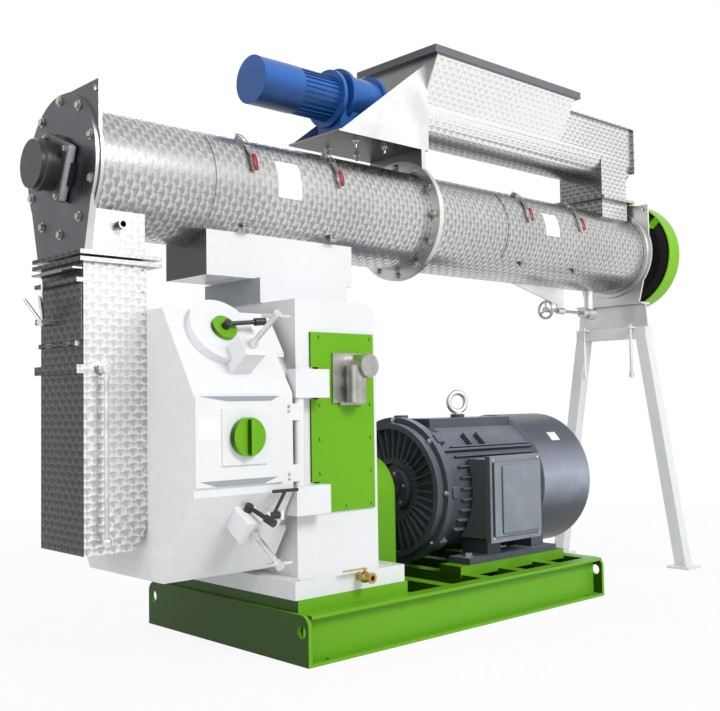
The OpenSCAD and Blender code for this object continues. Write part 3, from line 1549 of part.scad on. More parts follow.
// Screw feeder: trough with flared hopper, lid, end walls and rim
rim_h = 34;
rim_w = 20;
hopper_gap = 48;
hopper_x0 = rim_x + hopper_gap;
hopper_x1 = hopper_x0 + hopper_l - 3 * rim_w;
trough_end = 67;
trough_x1 = spout_x[1] + trough_end;
lid_drop = 55;
lid_z = hopper_z - lid_drop;
hopper_t = 4;
flare_rise = 10;
flare_z = trough_z + flare_rise;
outlet_inset = 30;
module trough_outline(grow) {
 r = trough_r + grow;
 circle(r = r);
 translate([-r, 0])
  square([2 * r, flare_z - trough_z + over]);
}
module feeder_trough() {
 top = hopper_w / 2 - rim_w;
 color(steel_c)
  difference() {
   union() {
    plate_x([hopper_x0, trough_x1])
     translate([0, trough_z])
      trough_outline(hopper_t);
    block([hopper_x1 - hopper_t, trough_x1], [-trough_r - hopper_t, trough_r + hopper_t], [trough_z, lid_z]);
    block([hopper_x1 - hopper_t, trough_x1 + rim_w / 2], [-trough_r - rim_w, trough_r + rim_w],
     [lid_z - hopper_t, lid_z + hopper_t / 2]);
    plate_x([hopper_x0, hopper_x1])
     polygon([[-trough_r - hopper_t, flare_z], [trough_r + hopper_t, flare_z],
      [top + hopper_t, hopper_z - rim_h / 2], [-top - hopper_t, hopper_z - rim_h / 2]]);
    block([hopper_x0 - rim_w * 2, hopper_x1 + rim_w], mid(0, hopper_w / 2), [hopper_z - rim_h, hopper_z]);
    block(mid(trough_x1, hopper_t), [-trough_r - rim_w, trough_r + rim_w],
     [trough_z - trough_r / 2, lid_z]);
   }
   plate_x([hopper_x0 + hopper_t, trough_x1 - hopper_t])
    translate([0, trough_z])
     trough_outline(0);
   block([hopper_x1 - 2 * hopper_t, trough_x1 - hopper_t], mid(0, trough_r), [trough_z, lid_z - hopper_t]);
   plate_x([hopper_x0 + hopper_t, hopper_x1 - hopper_t])
    polygon([[-trough_r, flare_z], [trough_r, flare_z], [top, hopper_z - rim_h / 2],
     [top, hopper_z + over], [-top, hopper_z + over], [-top, hopper_z - rim_h / 2]]);
   bar_x([hopper_x0 - over, hopper_x0 + 2 * hopper_t], 0, trough_z, screw_shaft_r + gap);
   bar_x([trough_x1 - over, trough_x1 + over * 2], 0, trough_z, screw_end_r + fit);
   block([spout_x[0] + outlet_inset, spout_x[1] - outlet_inset], mid(0, trough_r - outlet_inset),
    [trough_z - trough_r - 2 * over, trough_z]);
  }
}
feeder_reach = 496;
feeder_x0 = rim_x - feeder_reach;
feeder_y = 169;
base_bolt_r = 9;
module feeder_base() {
 x1 = rim_x + rim_t;
 color(steel_c)
  difference() {
   union() {
    block([feeder_x0, hopper_x0], [-feeder_y, feeder_y], on(feeder_z, plate_t));
    plate_x([rim_x + seat, x1 - seat])
     polygon([[-feeder_y, feeder_z + over], [feeder_y, feeder_z + over],
      [feeder_y, drum_z + drum_r * 0.6], [-feeder_y, drum_z + drum_r * 0.6]]);
    plate_x([hopper_x0 - plate_t, hopper_x0])
     polygon([[-feeder_y, feeder_z], [feeder_y, feeder_z], [feeder_y, trough_z + trough_r * 0.45],
      [hopper_w / 2 - rim_w, hopper_z - rim_h], [rim_w - hopper_w / 2, hopper_z - rim_h],
      [-feeder_y, trough_z + trough_r * 0.45]]);
    for (side = [-1, 1])
     plate_y(mid(side * (feeder_y - hopper_t / 2), hopper_t / 2))
      polygon([[feeder_x0, feeder_z], [hopper_x0, feeder_z], [hopper_x0, hopper_z - rim_h - rim_w]]);
   }
   bar_x([rim_x - over, x1 + over], 0, drum_z, rim_r + seat);
   bar_x([hopper_x0 - plate_t - over, hopper_x0 + over], 0, trough_z, screw_shaft_r + gap);
   for (x = [0.3, 0.62], y = [-0.55, 0.55])
    bar_z(feeder_x0 + (hopper_x0 - feeder_x0) * x, y * feeder_y, [feeder_z - over, feeder_z + plate_t + over],
     base_bolt_r);
  }
}
spout_rise = 282;
spout_rim_z = drum_z + spout_rise;
spout_rim_over = 34;
module inlet_spout() {
 inner_x = [spout_x[0] + sheet_t, spout_x[1] - sheet_t];
 color(steel_c)
  difference() {
   union() {
    block(spout_x, [-spout_y, spout_y], [drum_z + drum_r / 2, trough_z]);
    block([spout_x[0] - spout_rim_over, spout_x[1] + spout_rim_over],
     [-spout_y - spout_rim_over, spout_y + spout_rim_over],
     mid(spout_rim_z, plate_t));
   }
   block(inner_x, [sheet_t - spout_y, spout_y - sheet_t], [drum_z, trough_z + over]);
   bar_x([spout_x[0] - over, spout_x[1] + over], 0, drum_z, drum_r + seat);
   bar_x([spout_x[0] - over, spout_x[1] + over], 0, trough_z, trough_r + hopper_t + seat);
  }
}

// Feeder screw: shaft with one helical flight
screw_shaft_r = 27;
screw_end_r = 20;
flight_t = 6;
flight_steps = 14;
flight_inset = 30;
flight_x0 = hopper_x0 + flight_inset;
flight_x1 = trough_x1 - 2 * flight_inset;
flight_sink = 4;
module feeder_flight() {
 n = floor((flight_x1 - flight_x0) / screw_pitch * flight_steps);
 root = screw_shaft_r - flight_sink;
 ring = [[root, 0], [screw_r, 0], [screw_r, flight_t], [root, flight_t]];
 pts = [for (i = [0:n], p = ring)
  [flight_x0 + screw_pitch * i / flight_steps + p[1], p[0] * cos(360 * i / flight_steps),
   p[0] * sin(360 * i / flight_steps)]];
 sides = [for (i = [0:n - 1], k = [0:3])
  let (a = 4 * i + k, b = 4 * i + (k + 1) % 4)
  each [[a, b, b + 4], [a, b + 4, a + 4]]];
 polyhedron(points = pts, faces = concat([[0, 3, 2], [0, 2, 1]], sides,
  [[4 * n, 4 * n + 1, 4 * n + 2], [4 * n, 4 * n + 2, 4 * n + 3]]), convexity = 10);
}
reducer_bore_l = 60;
module feeder_screw() {
 color(steel_c) {
  bar_x([reducer_x1 - reducer_bore_l, flight_x1 + gap], 0, trough_z, screw_shaft_r);
  bar_x([flight_x1, trough_x1 + hopper_t - seat], 0, trough_z, screw_end_r);
  translate([0, 0, trough_z])
   feeder_flight();
 }
}

// Blue geared motor that drives the feeder screw, standing on the feeder base
reducer_inset = 110;
reducer_l = 280;
reducer_x0 = feeder_x0 + reducer_inset;
reducer_x1 = reducer_x0 + reducer_l;
gearmotor_drop = 32;
reducer_r = 105;
flange_r = 125;
flange_t = 18;
small_motor_r = 92;
small_motor_l = 190;
small_cover_l = 215;
small_cover_r = 97;
small_fins = 28;
small_fin_h = 6;
small_fin_t = 4;
stand_w = 150;
stand_l = 160;
stand_t = 18;
module feeder_gearmotor() {
 z = trough_z - gearmotor_drop;
 x1 = reducer_x0 - flange_t * 2;
 x0 = x1 - small_motor_l;
 color(blue_c)
  difference() {
   union() {
    bar_x([x0, x1], 0, z, small_motor_r);
    for (i = [0:small_fins - 1])
     translate([x0, 0, z])
      rotate([360 * i / small_fins, 0, 0])
       translate([0, -small_fin_t / 2, small_motor_r - small_fin_h])
        cube([small_motor_l, small_fin_t, small_fin_h * 2]);
    bar_x([x0 - small_cover_l, x0], 0, z, small_cover_r + small_fin_h / 2);
    bar_x(on(x1, flange_t), 0, z, flange_r);
    bar_x([x1 + flange_t, reducer_x0 + flange_t], 0, z, reducer_r * 0.85);
    bar_x([reducer_x0 + flange_t, reducer_x0 + 2 * flange_t], 0, trough_z - gearmotor_drop / 2, flange_r);
    bar_x([reducer_x0 + 2 * flange_t, reducer_x1 - flange_t * 2], 0, trough_z - gearmotor_drop / 2,
      reducer_r);
    bar_x([reducer_x1 - flange_t * 4, reducer_x1 - flange_t * 3], 0, trough_z, reducer_r * 1.08);
    bar_x([reducer_x1 - flange_t * 2, reducer_x1], 0, trough_z, reducer_r * 0.6);
    block([reducer_x0 - flange_t, reducer_x0 + stand_l], [-stand_w / 2, stand_w / 2],
     [feeder_z + plate_t, z]);
    block([reducer_x0 - flange_t * 2, reducer_x0 + stand_l + flange_t],
     [-stand_w / 2 - flange_t, stand_w / 2 + flange_t], [feeder_z + plate_t, feeder_z + plate_t + stand_t]);
    bar_z(reducer_x0 + stand_l / 2, 0, on(z, reducer_r * 1.25), screw_shaft_r);
   }
   bar_x([reducer_x1 - reducer_bore_l - gap, reducer_x1 + over], 0, trough_z, screw_shaft_r + fit);
  }
}

// Steam valve below the drum: gusset, pipe with elbow and the rod with its handwheel
wheel_inset = 633;
wheel_drop = 351;
wheel_x = drum_x1 - wheel_inset;
wheel_z = drum_z - wheel_drop;
wheel_r = 45;
wheel_wire_r = 7;
wheel_hub_r = 14;
stem_r = 8;
stem_l = 343;
gusset_reach = [291, 159];
gusset_x0 = wheel_x - gusset_reach[0];
gusset_x1 = wheel_x + gusset_reach[1];
gusset_t = 8;
gusset_drop = 318;
gusset_boss_l = 60;
boss_x0 = gusset_x1 - gusset_boss_l;
pipe_r = 26;
valve_r = 34;
pipe_reach = 60;
pipe_x = wheel_x + stem_l + pipe_reach;
module steam_valve() {
 color(steel_c)
  difference() {
   union() {
    difference() {
     plate_y([-gusset_t / 2, gusset_t / 2])
      polygon([[gusset_x0, drum_z - drum_r], [boss_x0, drum_z - gusset_drop],
       [boss_x0, wheel_z], [gusset_x1, wheel_z], [gusset_x1, drum_z - drum_r]]);
     bar_x([gusset_x0 - over, gusset_x1 + over], 0, drum_z, drum_r + seat);
    }
    bar_x([boss_x0, gusset_x1], 0, wheel_z, wheel_hub_r * 1.2);
    bar_x([wheel_x + stem_l - over * 4, pipe_x + valve_r], 0, wheel_z, pipe_r);
    bar_x(mid(pipe_x, valve_r), 0, wheel_z, valve_r);
    difference() {
     bar_z(pipe_x, 0, [wheel_z, drum_z - drum_r + over], pipe_r);
     bar_x(mid(pipe_x, valve_r * 2), 0, drum_z, drum_r + seat);
    }
   }
   bar_x([gusset_x0, wheel_x + stem_l], 0, wheel_z, stem_r + fit);
  }
}
module handwheel() {
 color(steel_c) {
  bar_x([wheel_x - wheel_hub_r, wheel_x + stem_l - gap], 0, wheel_z, stem_r);
  bar_x(mid(wheel_x, wheel_hub_r), 0, wheel_z, wheel_hub_r);
  translate([wheel_x, 0, wheel_z])
   rotate([0, 90, 0])
    rotate_extrude()
     translate([wheel_r, 0])
      circle(r = wheel_wire_r);
  for (a = [0:120:240])
   translate([wheel_x, 0, wheel_z])
    rotate([a, 0, 0])
     cylinder(h = wheel_r, r = wheel_wire_r * 0.7);
 }
}

base_frame();
lifting_eye();
base_deck();
gearbox_housing();
gearbox_covers();
oil_pump();
drain_valve();
door_hinge_bracket();
drum_saddle();
motor_frame();
motor_bell();
motor_fan_cover();
motor_terminal_box();
coupling_guard();
conditioner_drum();
drum_left_end();
drum_right_end();
conditioner_bearings();
support_bracket();
support_legs();
outlet_throat();
feeder_trough();
feeder_base();
inlet_spout();
feeder_gearmotor();
pulley_guard();
main_shaft();
steam_valve();
hollow_shaft();
main_gear();
ring_die();
pinion_shaft();
motor_rotor();
press_roller_upper();
press_roller_lower();
conditioner_shaft();
conditioner_pulley();
feeder_screw();
door_casing();
feed_chute();
door_knob();
knife_upper();
knife_lower();
knife_screw_upper();
knife_screw_lower();
clamp_lever_upper();
clamp_lever_lower();
swing_bolt();
chute_lever();
chute_door();
chute_clamp();
slide_gate();
drum_door_left();
drum_door_right();
latch_left_1();
latch_left_2();
latch_right_1();
latch_right_2();
handwheel();
drain_lever();
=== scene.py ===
import math

import bmesh
import bpy
from mathutils import Matrix, Vector


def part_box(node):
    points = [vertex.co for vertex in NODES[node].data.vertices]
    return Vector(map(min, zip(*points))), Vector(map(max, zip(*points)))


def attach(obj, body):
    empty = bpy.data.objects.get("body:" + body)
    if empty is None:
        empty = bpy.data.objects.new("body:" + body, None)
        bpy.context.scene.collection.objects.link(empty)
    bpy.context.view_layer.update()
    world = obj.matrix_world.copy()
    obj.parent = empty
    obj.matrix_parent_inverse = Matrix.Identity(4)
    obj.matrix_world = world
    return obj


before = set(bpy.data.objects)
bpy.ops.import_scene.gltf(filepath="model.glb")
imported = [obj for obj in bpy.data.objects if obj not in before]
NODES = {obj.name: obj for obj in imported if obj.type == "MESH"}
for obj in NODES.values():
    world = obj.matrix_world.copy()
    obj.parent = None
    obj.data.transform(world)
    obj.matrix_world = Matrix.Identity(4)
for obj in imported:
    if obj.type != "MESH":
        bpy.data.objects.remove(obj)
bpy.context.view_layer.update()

# Feed pellet mill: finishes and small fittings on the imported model, in metres.
# X runs from the press door to the drive motor, Y to the far side, Z up.

# Camera that took the photograph
PHOTO_LENS = 50.0
SENSOR_WIDTH = 36.0
CAMERA_PLACE = Vector((-3.160, -3.247, 0.920))
CAMERA_FORWARD = Vector((0.6792, 0.7325, 0.0478))
CAMERA_RIGHT = Vector((0.7337, -0.6794, -0.0150))

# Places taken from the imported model
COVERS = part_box("gearbox_covers")
LEFT_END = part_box("drum_left_end")
RIGHT_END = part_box("drum_right_end")
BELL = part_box("motor_bell")
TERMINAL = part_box("motor_terminal_box")
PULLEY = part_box("conditioner_pulley")

DRUM_R = 0.225
DRUM_Z = (PULLEY[0].z + PULLEY[1].z) / 2
RIM_R = 0.275
RIM_X = (0.092, 0.118)
MOTOR_Z = (BELL[0].z + BELL[1].z) / 2


class Shader:
    """A principled material under construction, with short calls for its texture nodes."""

    def __init__(self, name, colour, roughness, metallic=0.0):
        self.material = bpy.data.materials.new(name)
        self.material.use_nodes = True
        self.tree = self.material.node_tree
        self.bsdf = self.tree.nodes["Principled BSDF"]
        self.bsdf.inputs["Base Color"].default_value = (*colour, 1.0)
        self.bsdf.inputs["Roughness"].default_value = roughness
        self.bsdf.inputs["Metallic"].default_value = metallic
        coordinates = self.add("ShaderNodeTexCoord")
        self.place = coordinates.outputs["Object"]
        self.facing = coordinates.outputs["Normal"]

    def add(self, kind, **settings):
        node = self.tree.nodes.new(kind)
        for key, value in settings.items():
            setattr(node, key, value)
        return node

    def feed(self, socket, value):
        if isinstance(value, bpy.types.NodeSocket):
            self.tree.links.new(value, socket)
        else:
            socket.default_value = value

    def math(self, operation, *values):
        node = self.add("ShaderNodeMath", operation=operation)
        for socket, value in zip(node.inputs, values):
            self.feed(socket, value)
        return node.outputs[0]

    def stretched(self, stretch, source=None):
        node = self.add("ShaderNodeVectorMath", operation="MULTIPLY")
        self.feed(node.inputs[0], source or self.place)
        node.inputs[1].default_value = stretch
        return node.outputs[0]

    def noise(self, scale, detail=3.0, stretch=(1, 1, 1), source=None):
        node = self.add("ShaderNodeTexNoise")
        self.feed(node.inputs["Vector"], self.stretched(stretch, source))
        node.inputs["Scale"].default_value = scale
        node.inputs["Detail"].default_value = detail
        return node.outputs["Fac"]

    def spread(self, value, low, high, start=0.0, end=1.0):
        node = self.add("ShaderNodeMapRange")
        self.feed(node.inputs["Value"], value)
        node.inputs["From Min"].default_value = start
        node.inputs["From Max"].default_value = end
        node.inputs["To Min"].default_value = low
        node.inputs["To Max"].default_value = high
        return node.outputs["Result"]

    def blend(self, factor, first, second):
        node = self.add("ShaderNodeMix", data_type="RGBA")
        self.feed(node.inputs["Factor"], factor)
        for socket, colour in ((node.inputs[6], first), (node.inputs[7], second)):
            if isinstance(colour, tuple):
                colour = (*colour, 1.0)
            self.feed(socket, colour)
        return node.outputs[2]

    def bump(self, height, strength, distance):
        node = self.add("ShaderNodeBump")
        node.inputs["Strength"].default_value = strength
        node.inputs["Distance"].default_value = distance
        self.feed(node.inputs["Height"], height)
        self.feed(self.bsdf.inputs["Normal"], node.outputs[0])

    def sides(self, near, left, up, down):
        """Painted light and shade: brightness by the way a face looks in its own frame, to the near side, the
        door, up and down.
        """
        split = self.add("ShaderNodeSeparateXYZ")
        self.feed(split.inputs[0], self.facing)
        x, y, z = split.outputs
        total = 1.0
        for value, sign, factor in ((y, -1.0, near), (x, -1.0, left), (z, 1.0, up), (z, -1.0, down)):
            reach = self.math("MAXIMUM", self.math("MULTIPLY", value, sign), 0.0)
            total = self.math("MULTIPLY_ADD", self.math("MULTIPLY", reach, reach), factor - 1.0, total)
        return total

    def painted_gleam_band(self, middle, reach, high, low):
        """Painted highlight: brightness that peaks on faces that look up by a given amount, standing in for
        the gleam of a round body.
        """
        split = self.add("ShaderNodeSeparateXYZ")
        self.feed(split.inputs[0], self.facing)
        away = self.math("ABSOLUTE", self.math("SUBTRACT", split.outputs[2], middle))
        return self.spread(away, high, low, 0.0, reach)

    def scaled(self, colour, value):
        node = self.add("ShaderNodeVectorMath", operation="SCALE")
        self.feed(node.inputs[0], colour)
        self.feed(node.inputs["Scale"], value)
        capped = self.add("ShaderNodeVectorMath", operation="MINIMUM")
        self.feed(capped.inputs[0], node.outputs[0])
        capped.inputs[1].default_value = (0.95, 0.95, 0.95)
        return capped.outputs[0]

    def colour(self, value):
        self.feed(self.bsdf.inputs["Base Color"], value)

    def roughness(self, value):
        self.feed(self.bsdf.inputs["Roughness"], value)


def tinted(colour, factor):
    return tuple(min(1.0, channel * factor) for channel in colour)


# Painted and moulded finishes
COAT_ROUGHNESS = 0.22
PAINT_SHINE = 0.18

EVEN_SIDES = (1.0, 1.0, 1.0, 1.0)


def paint(name, colour, roughness=0.32, dust=0.25, coat=0.15, light=EVEN_SIDES):
    """Sprayed paint: faint clouds in the tone, orange peel, dull dust near the floor, and painted light and
    shade by the way each face looks.
    """
    s = Shader(name, colour, roughness)
    clouds = s.noise(3.5, 5.0)
    tone = s.blend(s.spread(clouds, 0.0, 1.0, 0.35, 0.65), tinted(colour, 0.985), tinted(colour, 1.01))
    height = s.add("ShaderNodeSeparateXYZ")
    s.feed(height.inputs[0], s.place)
    low = s.spread(height.outputs["Z"], dust, 0.0, 0.0, 0.5)
    marks = s.math("MULTIPLY", low, s.spread(s.noise(26.0, 6.0), 0.0, 1.0, 0.45, 0.7))
    # Painted light and shade: the paint's colour is scaled by the way each face looks.
    s.colour(s.scaled(s.blend(marks, tone, (0.30, 0.29, 0.26)), s.sides(*light)))
    s.roughness(s.spread(s.noise(14.0, 4.0), roughness - 0.02, roughness + 0.05, 0.3, 0.7))
    s.bump(s.noise(420.0, 2.0), 0.06, 0.0006)
    s.bsdf.inputs["Coat Weight"].default_value = coat
    s.bsdf.inputs["Specular IOR Level"].default_value = PAINT_SHINE
    return s.material


def cast_paint(name, colour, roughness=0.5, coat=0.0, light=EVEN_SIDES, painted_gleam=(0.0, 2.0, 1.0, 1.0)):
    """Painted casting: sand grain under the paint, worn lighter patches, and painted light and shade with a
    painted highlight band by the way each face looks.
    """
    s = Shader(name, colour, roughness)
    grain = s.noise(240.0, 4.0)
    wear = s.spread(s.noise(9.0, 8.0), 0.0, 1.0, 0.5, 0.72)
    # Painted light and shade by the way each face looks, times a painted highlight band; this tone is painted
    # light.
    tone = s.math("MULTIPLY", s.sides(*light), s.painted_gleam_band(*painted_gleam))
    s.colour(s.scaled(s.blend(wear, tinted(colour, 0.94), tinted(colour, 1.12)), tone))
    s.bsdf.inputs["Coat Weight"].default_value = coat
    s.bsdf.inputs["Coat Roughness"].default_value = COAT_ROUGHNESS
    s.bsdf.inputs["Specular IOR Level"].default_value = PAINT_SHINE
    s.roughness(s.spread(grain, roughness - 0.08, roughness + 0.12))
    s.bump(grain, 0.22, 0.0008)
    return s.material


def moulded(name, colour, roughness=0.4):
    """Moulded plastic with a fine grain and rubbed, glossier patches."""
    s = Shader(name, colour, roughness)
    rubbed = s.noise(38.0, 3.0)
    s.colour(s.blend(rubbed, tinted(colour, 0.88), tinted(colour, 1.15)))
    s.roughness(s.spread(rubbed, roughness - 0.12, roughness + 0.12))
    s.bump(s.noise(900.0, 2.0), 0.12, 0.0003)
    return s.material


# Metal finishes

# Painted light and shade of plain sheet: lighter on the near side, darker toward the door, on top and
# underneath.
SHEET_PAINTED_LIGHT = (1.45, 0.38, 0.85, 0.38)


def brushed(name, colour, roughness, stretch=(1, 40, 40), contrast=0.1, light=SHEET_PAINTED_LIGHT):
    """Rolled or brushed sheet: fine lines along one axis, soft clouds in the shine, and painted light and
    shade by the way each face looks.
    """
    s = Shader(name, colour, roughness, 1.0)
    lines = s.noise(30.0, 4.0, stretch)
    clouds = s.noise(5.0, 4.0)
    shade = s.math("MULTIPLY_ADD", s.math("SUBTRACT", lines, 0.5), contrast, clouds)
    tone = s.blend(s.spread(shade, 0.0, 1.0, 0.3, 0.7), tinted(colour, 0.82), tinted(colour, 1.12))
    # Painted light and shade by the way each face looks.
    s.colour(s.scaled(tone, s.sides(*light)))
    s.roughness(s.spread(lines, roughness - 0.06, roughness + 0.1, 0.3, 0.7))
    s.bump(lines, 0.05, 0.0004)
    return s.material


def machined(name, colour, roughness=0.3):
    """Turned and milled steel with an oily film in patches."""
    s = Shader(name, colour, roughness, 1.0)
    film = s.noise(18.0, 6.0)
    s.colour(s.blend(s.spread(film, 0.0, 1.0, 0.35, 0.7), tinted(colour, 0.72), tinted(colour, 1.08)))
    s.roughness(s.spread(film, roughness - 0.08, roughness + 0.14))
    s.bump(s.noise(300.0, 3.0), 0.05, 0.0003)
    return s.material


def sheet_place(s, wrapped):
    """Two lengths along the sheet: round the drum axis, or across whichever way a flat face looks."""
    split = s.add("ShaderNodeSeparateXYZ")
    s.feed(split.inputs[0], s.place)
    x, y, z = split.outputs
    if wrapped:
        angle = s.math("ARCTAN2", y, s.math("SUBTRACT", z, DRUM_Z))
        return s.math("MULTIPLY", angle, DRUM_R), x
    facing = s.add("ShaderNodeSeparateXYZ")
    s.feed(facing.inputs[0], s.facing)
    nx, ny, nz = (s.math("ABSOLUTE", value) for value in facing.outputs)
    looks_x = s.math("GREATER_THAN", nx, s.math("MAXIMUM", ny, nz))
    looks_z = s.math("GREATER_THAN", nz, s.math("MAXIMUM", nx, ny))
    across = s.math("ADD", s.math("MULTIPLY", looks_x, y),
                    s.math("MULTIPLY", s.math("SUBTRACT", 1.0, looks_x), x))
    along = s.math("ADD", s.math("MULTIPLY", looks_z, y),
                   s.math("MULTIPLY", s.math("SUBTRACT", 1.0, looks_z), z))
    return across, along


SCALE_REACH = 0.53


def engine_turned(name, colour, light, pitch, wrapped=False, roughness=0.27):
    """Stainless sheet polished in overlapping round spots, each row half covering the last, with a painted
    sheen in each spot and painted light and shade by the way each face looks.
    """
    s = Shader(name, colour, roughness, 1.0)
    u, v = sheet_place(s, wrapped)
    across = s.math("DIVIDE", u, pitch)
    rows = s.math("DIVIDE", v, pitch / 2)
    row = s.math("FLOOR", rows)
    shift = s.math("MULTIPLY", s.math("FLOORED_MODULO", row, 2.0), 0.5)
    rise = s.math("MULTIPLY", s.math("FRACT", rows), 0.5)

    def offset(extra):
        return s.math("SUBTRACT", s.math("FRACT", s.math("ADD", s.math("ADD", across, shift), extra)), 0.5)

    own_u = offset(0.0)
    next_u = offset(0.5)
    next_rise = s.math("SUBTRACT", rise, 0.5)

    def length(a, b):
        return s.math("SQRT", s.math("ADD", s.math("MULTIPLY", a, a), s.math("MULTIPLY", b, b)))

    own = s.math("LESS_THAN", length(own_u, rise), SCALE_REACH)
    other = s.math("SUBTRACT", 1.0, own)

    def chosen(first, second):
        return s.math("ADD", s.math("MULTIPLY", own, first), s.math("MULTIPLY", other, second))

    local_u = chosen(own_u, next_u)
    local_v = chosen(rise, next_rise)
    reach = length(local_u, local_v)
    angle = s.math("ARCTAN2", local_v, local_u)
    # Painted sheen: the bright and dark halves of each spot stand for the way its polished swirl catches the
    # light; the spots, rings and clouds are the sheet's own.
    wander = s.math("MULTIPLY", s.noise(8.0, 2.0), 2.4)
    swirl = s.math("SINE", s.math("ADD", s.math("MULTIPLY", angle, 2.0), wander))
    rings = s.math("SINE", s.math("MULTIPLY", reach, 60.0))
    edge = s.spread(reach, 0.0, 1.0, SCALE_REACH - 0.16, SCALE_REACH)
    shine = s.math("SUBTRACT", s.spread(swirl, 0.0, 1.0, -1.0, 1.0), s.math("MULTIPLY", edge, 0.35))
    clouds = s.spread(s.noise(3.0, 3.0), -0.15, 0.15, 0.3, 0.7)
    tone = s.math("ADD", shine, clouds)
    spots = s.blend(tone, tinted(colour, 0.64), tinted(colour, 1.25))
    # Painted light and shade by the way each face looks.
    s.colour(s.scaled(spots, s.sides(*light)))
    s.roughness(s.spread(shine, roughness + 0.12, roughness - 0.08))
    bumps = s.math("ADD", s.math("MULTIPLY", rings, 0.15), s.math("MULTIPLY", edge, -0.9))
    s.bump(bumps, 0.35, 0.0006)
    return s.material


GREEN = (0.150, 0.420, 0.012)
BRIGHT_GREEN = (0.205, 0.520, 0.008)
WHITE = (0.74, 0.75, 0.765)
MOTOR_GREY = (0.118, 0.130, 0.158)
BOX_GREY = (0.245, 0.268, 0.305)
BLUE = (0.018, 0.088, 0.300)
# Painted shade greys, for faces that lie in shadow.
SHADE_GREY = (0.330, 0.350, 0.380)
DEEP_SHADE_GREY = (0.075, 0.080, 0.088)
STEEL = (0.56, 0.56, 0.55)
BLACK = (0.018, 0.018, 0.020)
RED = (0.26, 0.012, 0.018)
YELLOW_METAL = (0.55, 0.38, 0.12)

# Every light tuple below is painted light and shade: it lightens or darkens each face by the way it looks, to
# the near side, the door, up and down, as with the green paint at 0.17 on faces toward the door. The second
# tuple of a cast paint is a painted highlight band.
FINISH = {
    "green": paint("green_paint", GREEN, 0.32, dust=0.08, coat=0.0, light=(0.97, 0.17, 1.0, 1.0)),
    "bright": paint("bright_green_paint", BRIGHT_GREEN, 0.28, coat=0.0),
    "white": paint("white_gloss_paint", WHITE, 0.26, dust=0.10, light=(1.03, 1.0, 1.12, 1.0)),
    # Painted light: the same white paint, lighter toward the door and on top.
    "door": paint("white_paint_lit_door_side", WHITE, 0.26, dust=0.10, light=(1.03, 1.23, 1.12, 0.95)),
    # Painted light and shade: the motor's tops are lit twice over, its undersides, near and door sides
    # darker.
    "motor": cast_paint("grey_motor_paint", MOTOR_GREY, 0.36, 0.05, (0.80, 0.50, 2.0, 0.1)),
    # Painted highlight band across the fan cover, with painted shade underneath.
    "fan": cast_paint("grey_fan_paint", MOTOR_GREY, 0.32, 0.0, (1.0, 1.0, 1.0, -0.3), (0.12, 0.5, 3.1, 0.8)),
    "box": cast_paint("grey_box_paint", BOX_GREY, 0.42, light=(1.0, 0.30, 1.2, 0.3)),
    "blue": cast_paint("blue_motor_paint", BLUE, 0.30, 0.25, (1.1, 1.0, 1.2, 0.4), (0.3, 0.7, 1.5, 0.8)),
    "drum": engine_turned("engine_turned_drum", STEEL, (1.02, 0.55, 0.72, 0.95), 0.052, True),
    "turned": engine_turned("engine_turned_sheet", STEEL, (1.38, 0.12, 0.95, 0.5), 0.050),
    "duct": engine_turned("engine_turned_duct", STEEL, (1.50, 0.36, 0.95, 0.4), 0.046),
    # Painted light: the hopper's turned sheet is lit 2.5 times on its near side, darker toward the door.
    "near_lit_turned": engine_turned("engine_turned_hopper", STEEL, (2.5, 0.36, 0.95, 0.6), 0.046),
    # Painted light: the rim sheet is lighter on its near side and toward the door, darker underneath.
    "rim": brushed("rim_sheet_lit_sides", STEEL, 0.3, (30, 30, 1), 0.05, (1.3, 1.35, 0.9, 0.5)),
    "sheet": brushed("plain_stainless", STEEL, 0.30),
    # Painted light: plain stainless lit on its near side, darker underneath.
    "near_lit_sheet": brushed("near_lit_stainless", STEEL, 0.34, light=(1.6, 0.95, 0.9, 0.5)),
    # Painted light on the feeder base's near side, painted shade toward the door and underneath.
    "guard": brushed("feeder_stainless", STEEL, 0.34, contrast=0.05, light=(1.62, 0.42, 0.9, 0.10)),
    "steel": machined("machined_steel", (0.50, 0.49, 0.47)),
    "bright_steel": machined("bright_steel", (0.80, 0.80, 0.79), 0.24),
    "cast": cast_paint("dark_casting", (0.045, 0.047, 0.052), 0.5),
    # Painted light: the dark casting is lit to light grey on its near faces.
    "bearing": cast_paint("bearing_casting", (0.045, 0.047, 0.052), 0.4, 0.2, (13.0, 1.0, 1.0, 0.5)),
    "black": moulded("black_plastic", BLACK, 0.38),
    "red": moulded("red_plastic", RED, 0.35),
    "brass": machined("yellow_metal", YELLOW_METAL, 0.28),
    # Painted reflection: the dark tone and the darker door side stand for a dark room mirrored in the
    # polished end sheet.
    "end": brushed("polished_sheet_dark_reflection", (0.22, 0.23, 0.25), 0.28, (30, 30, 1), 0.05, (1.0, 0.44, 1.0, 0.6)),
    # Painted shade: grey and deep grey for faces that lie in shadow.
    "shade": paint("painted_shade_grey_blue", SHADE_GREY, 0.4, dust=0.0, coat=0.0),
    "deep_shade": paint("painted_deep_shade", DEEP_SHADE_GREY, 0.3, dust=0.0, coat=0.2),
    "plate": paint("bare_white_plate", (0.86, 0.86, 0.85), 0.4, dust=0.0, coat=0.0),
}

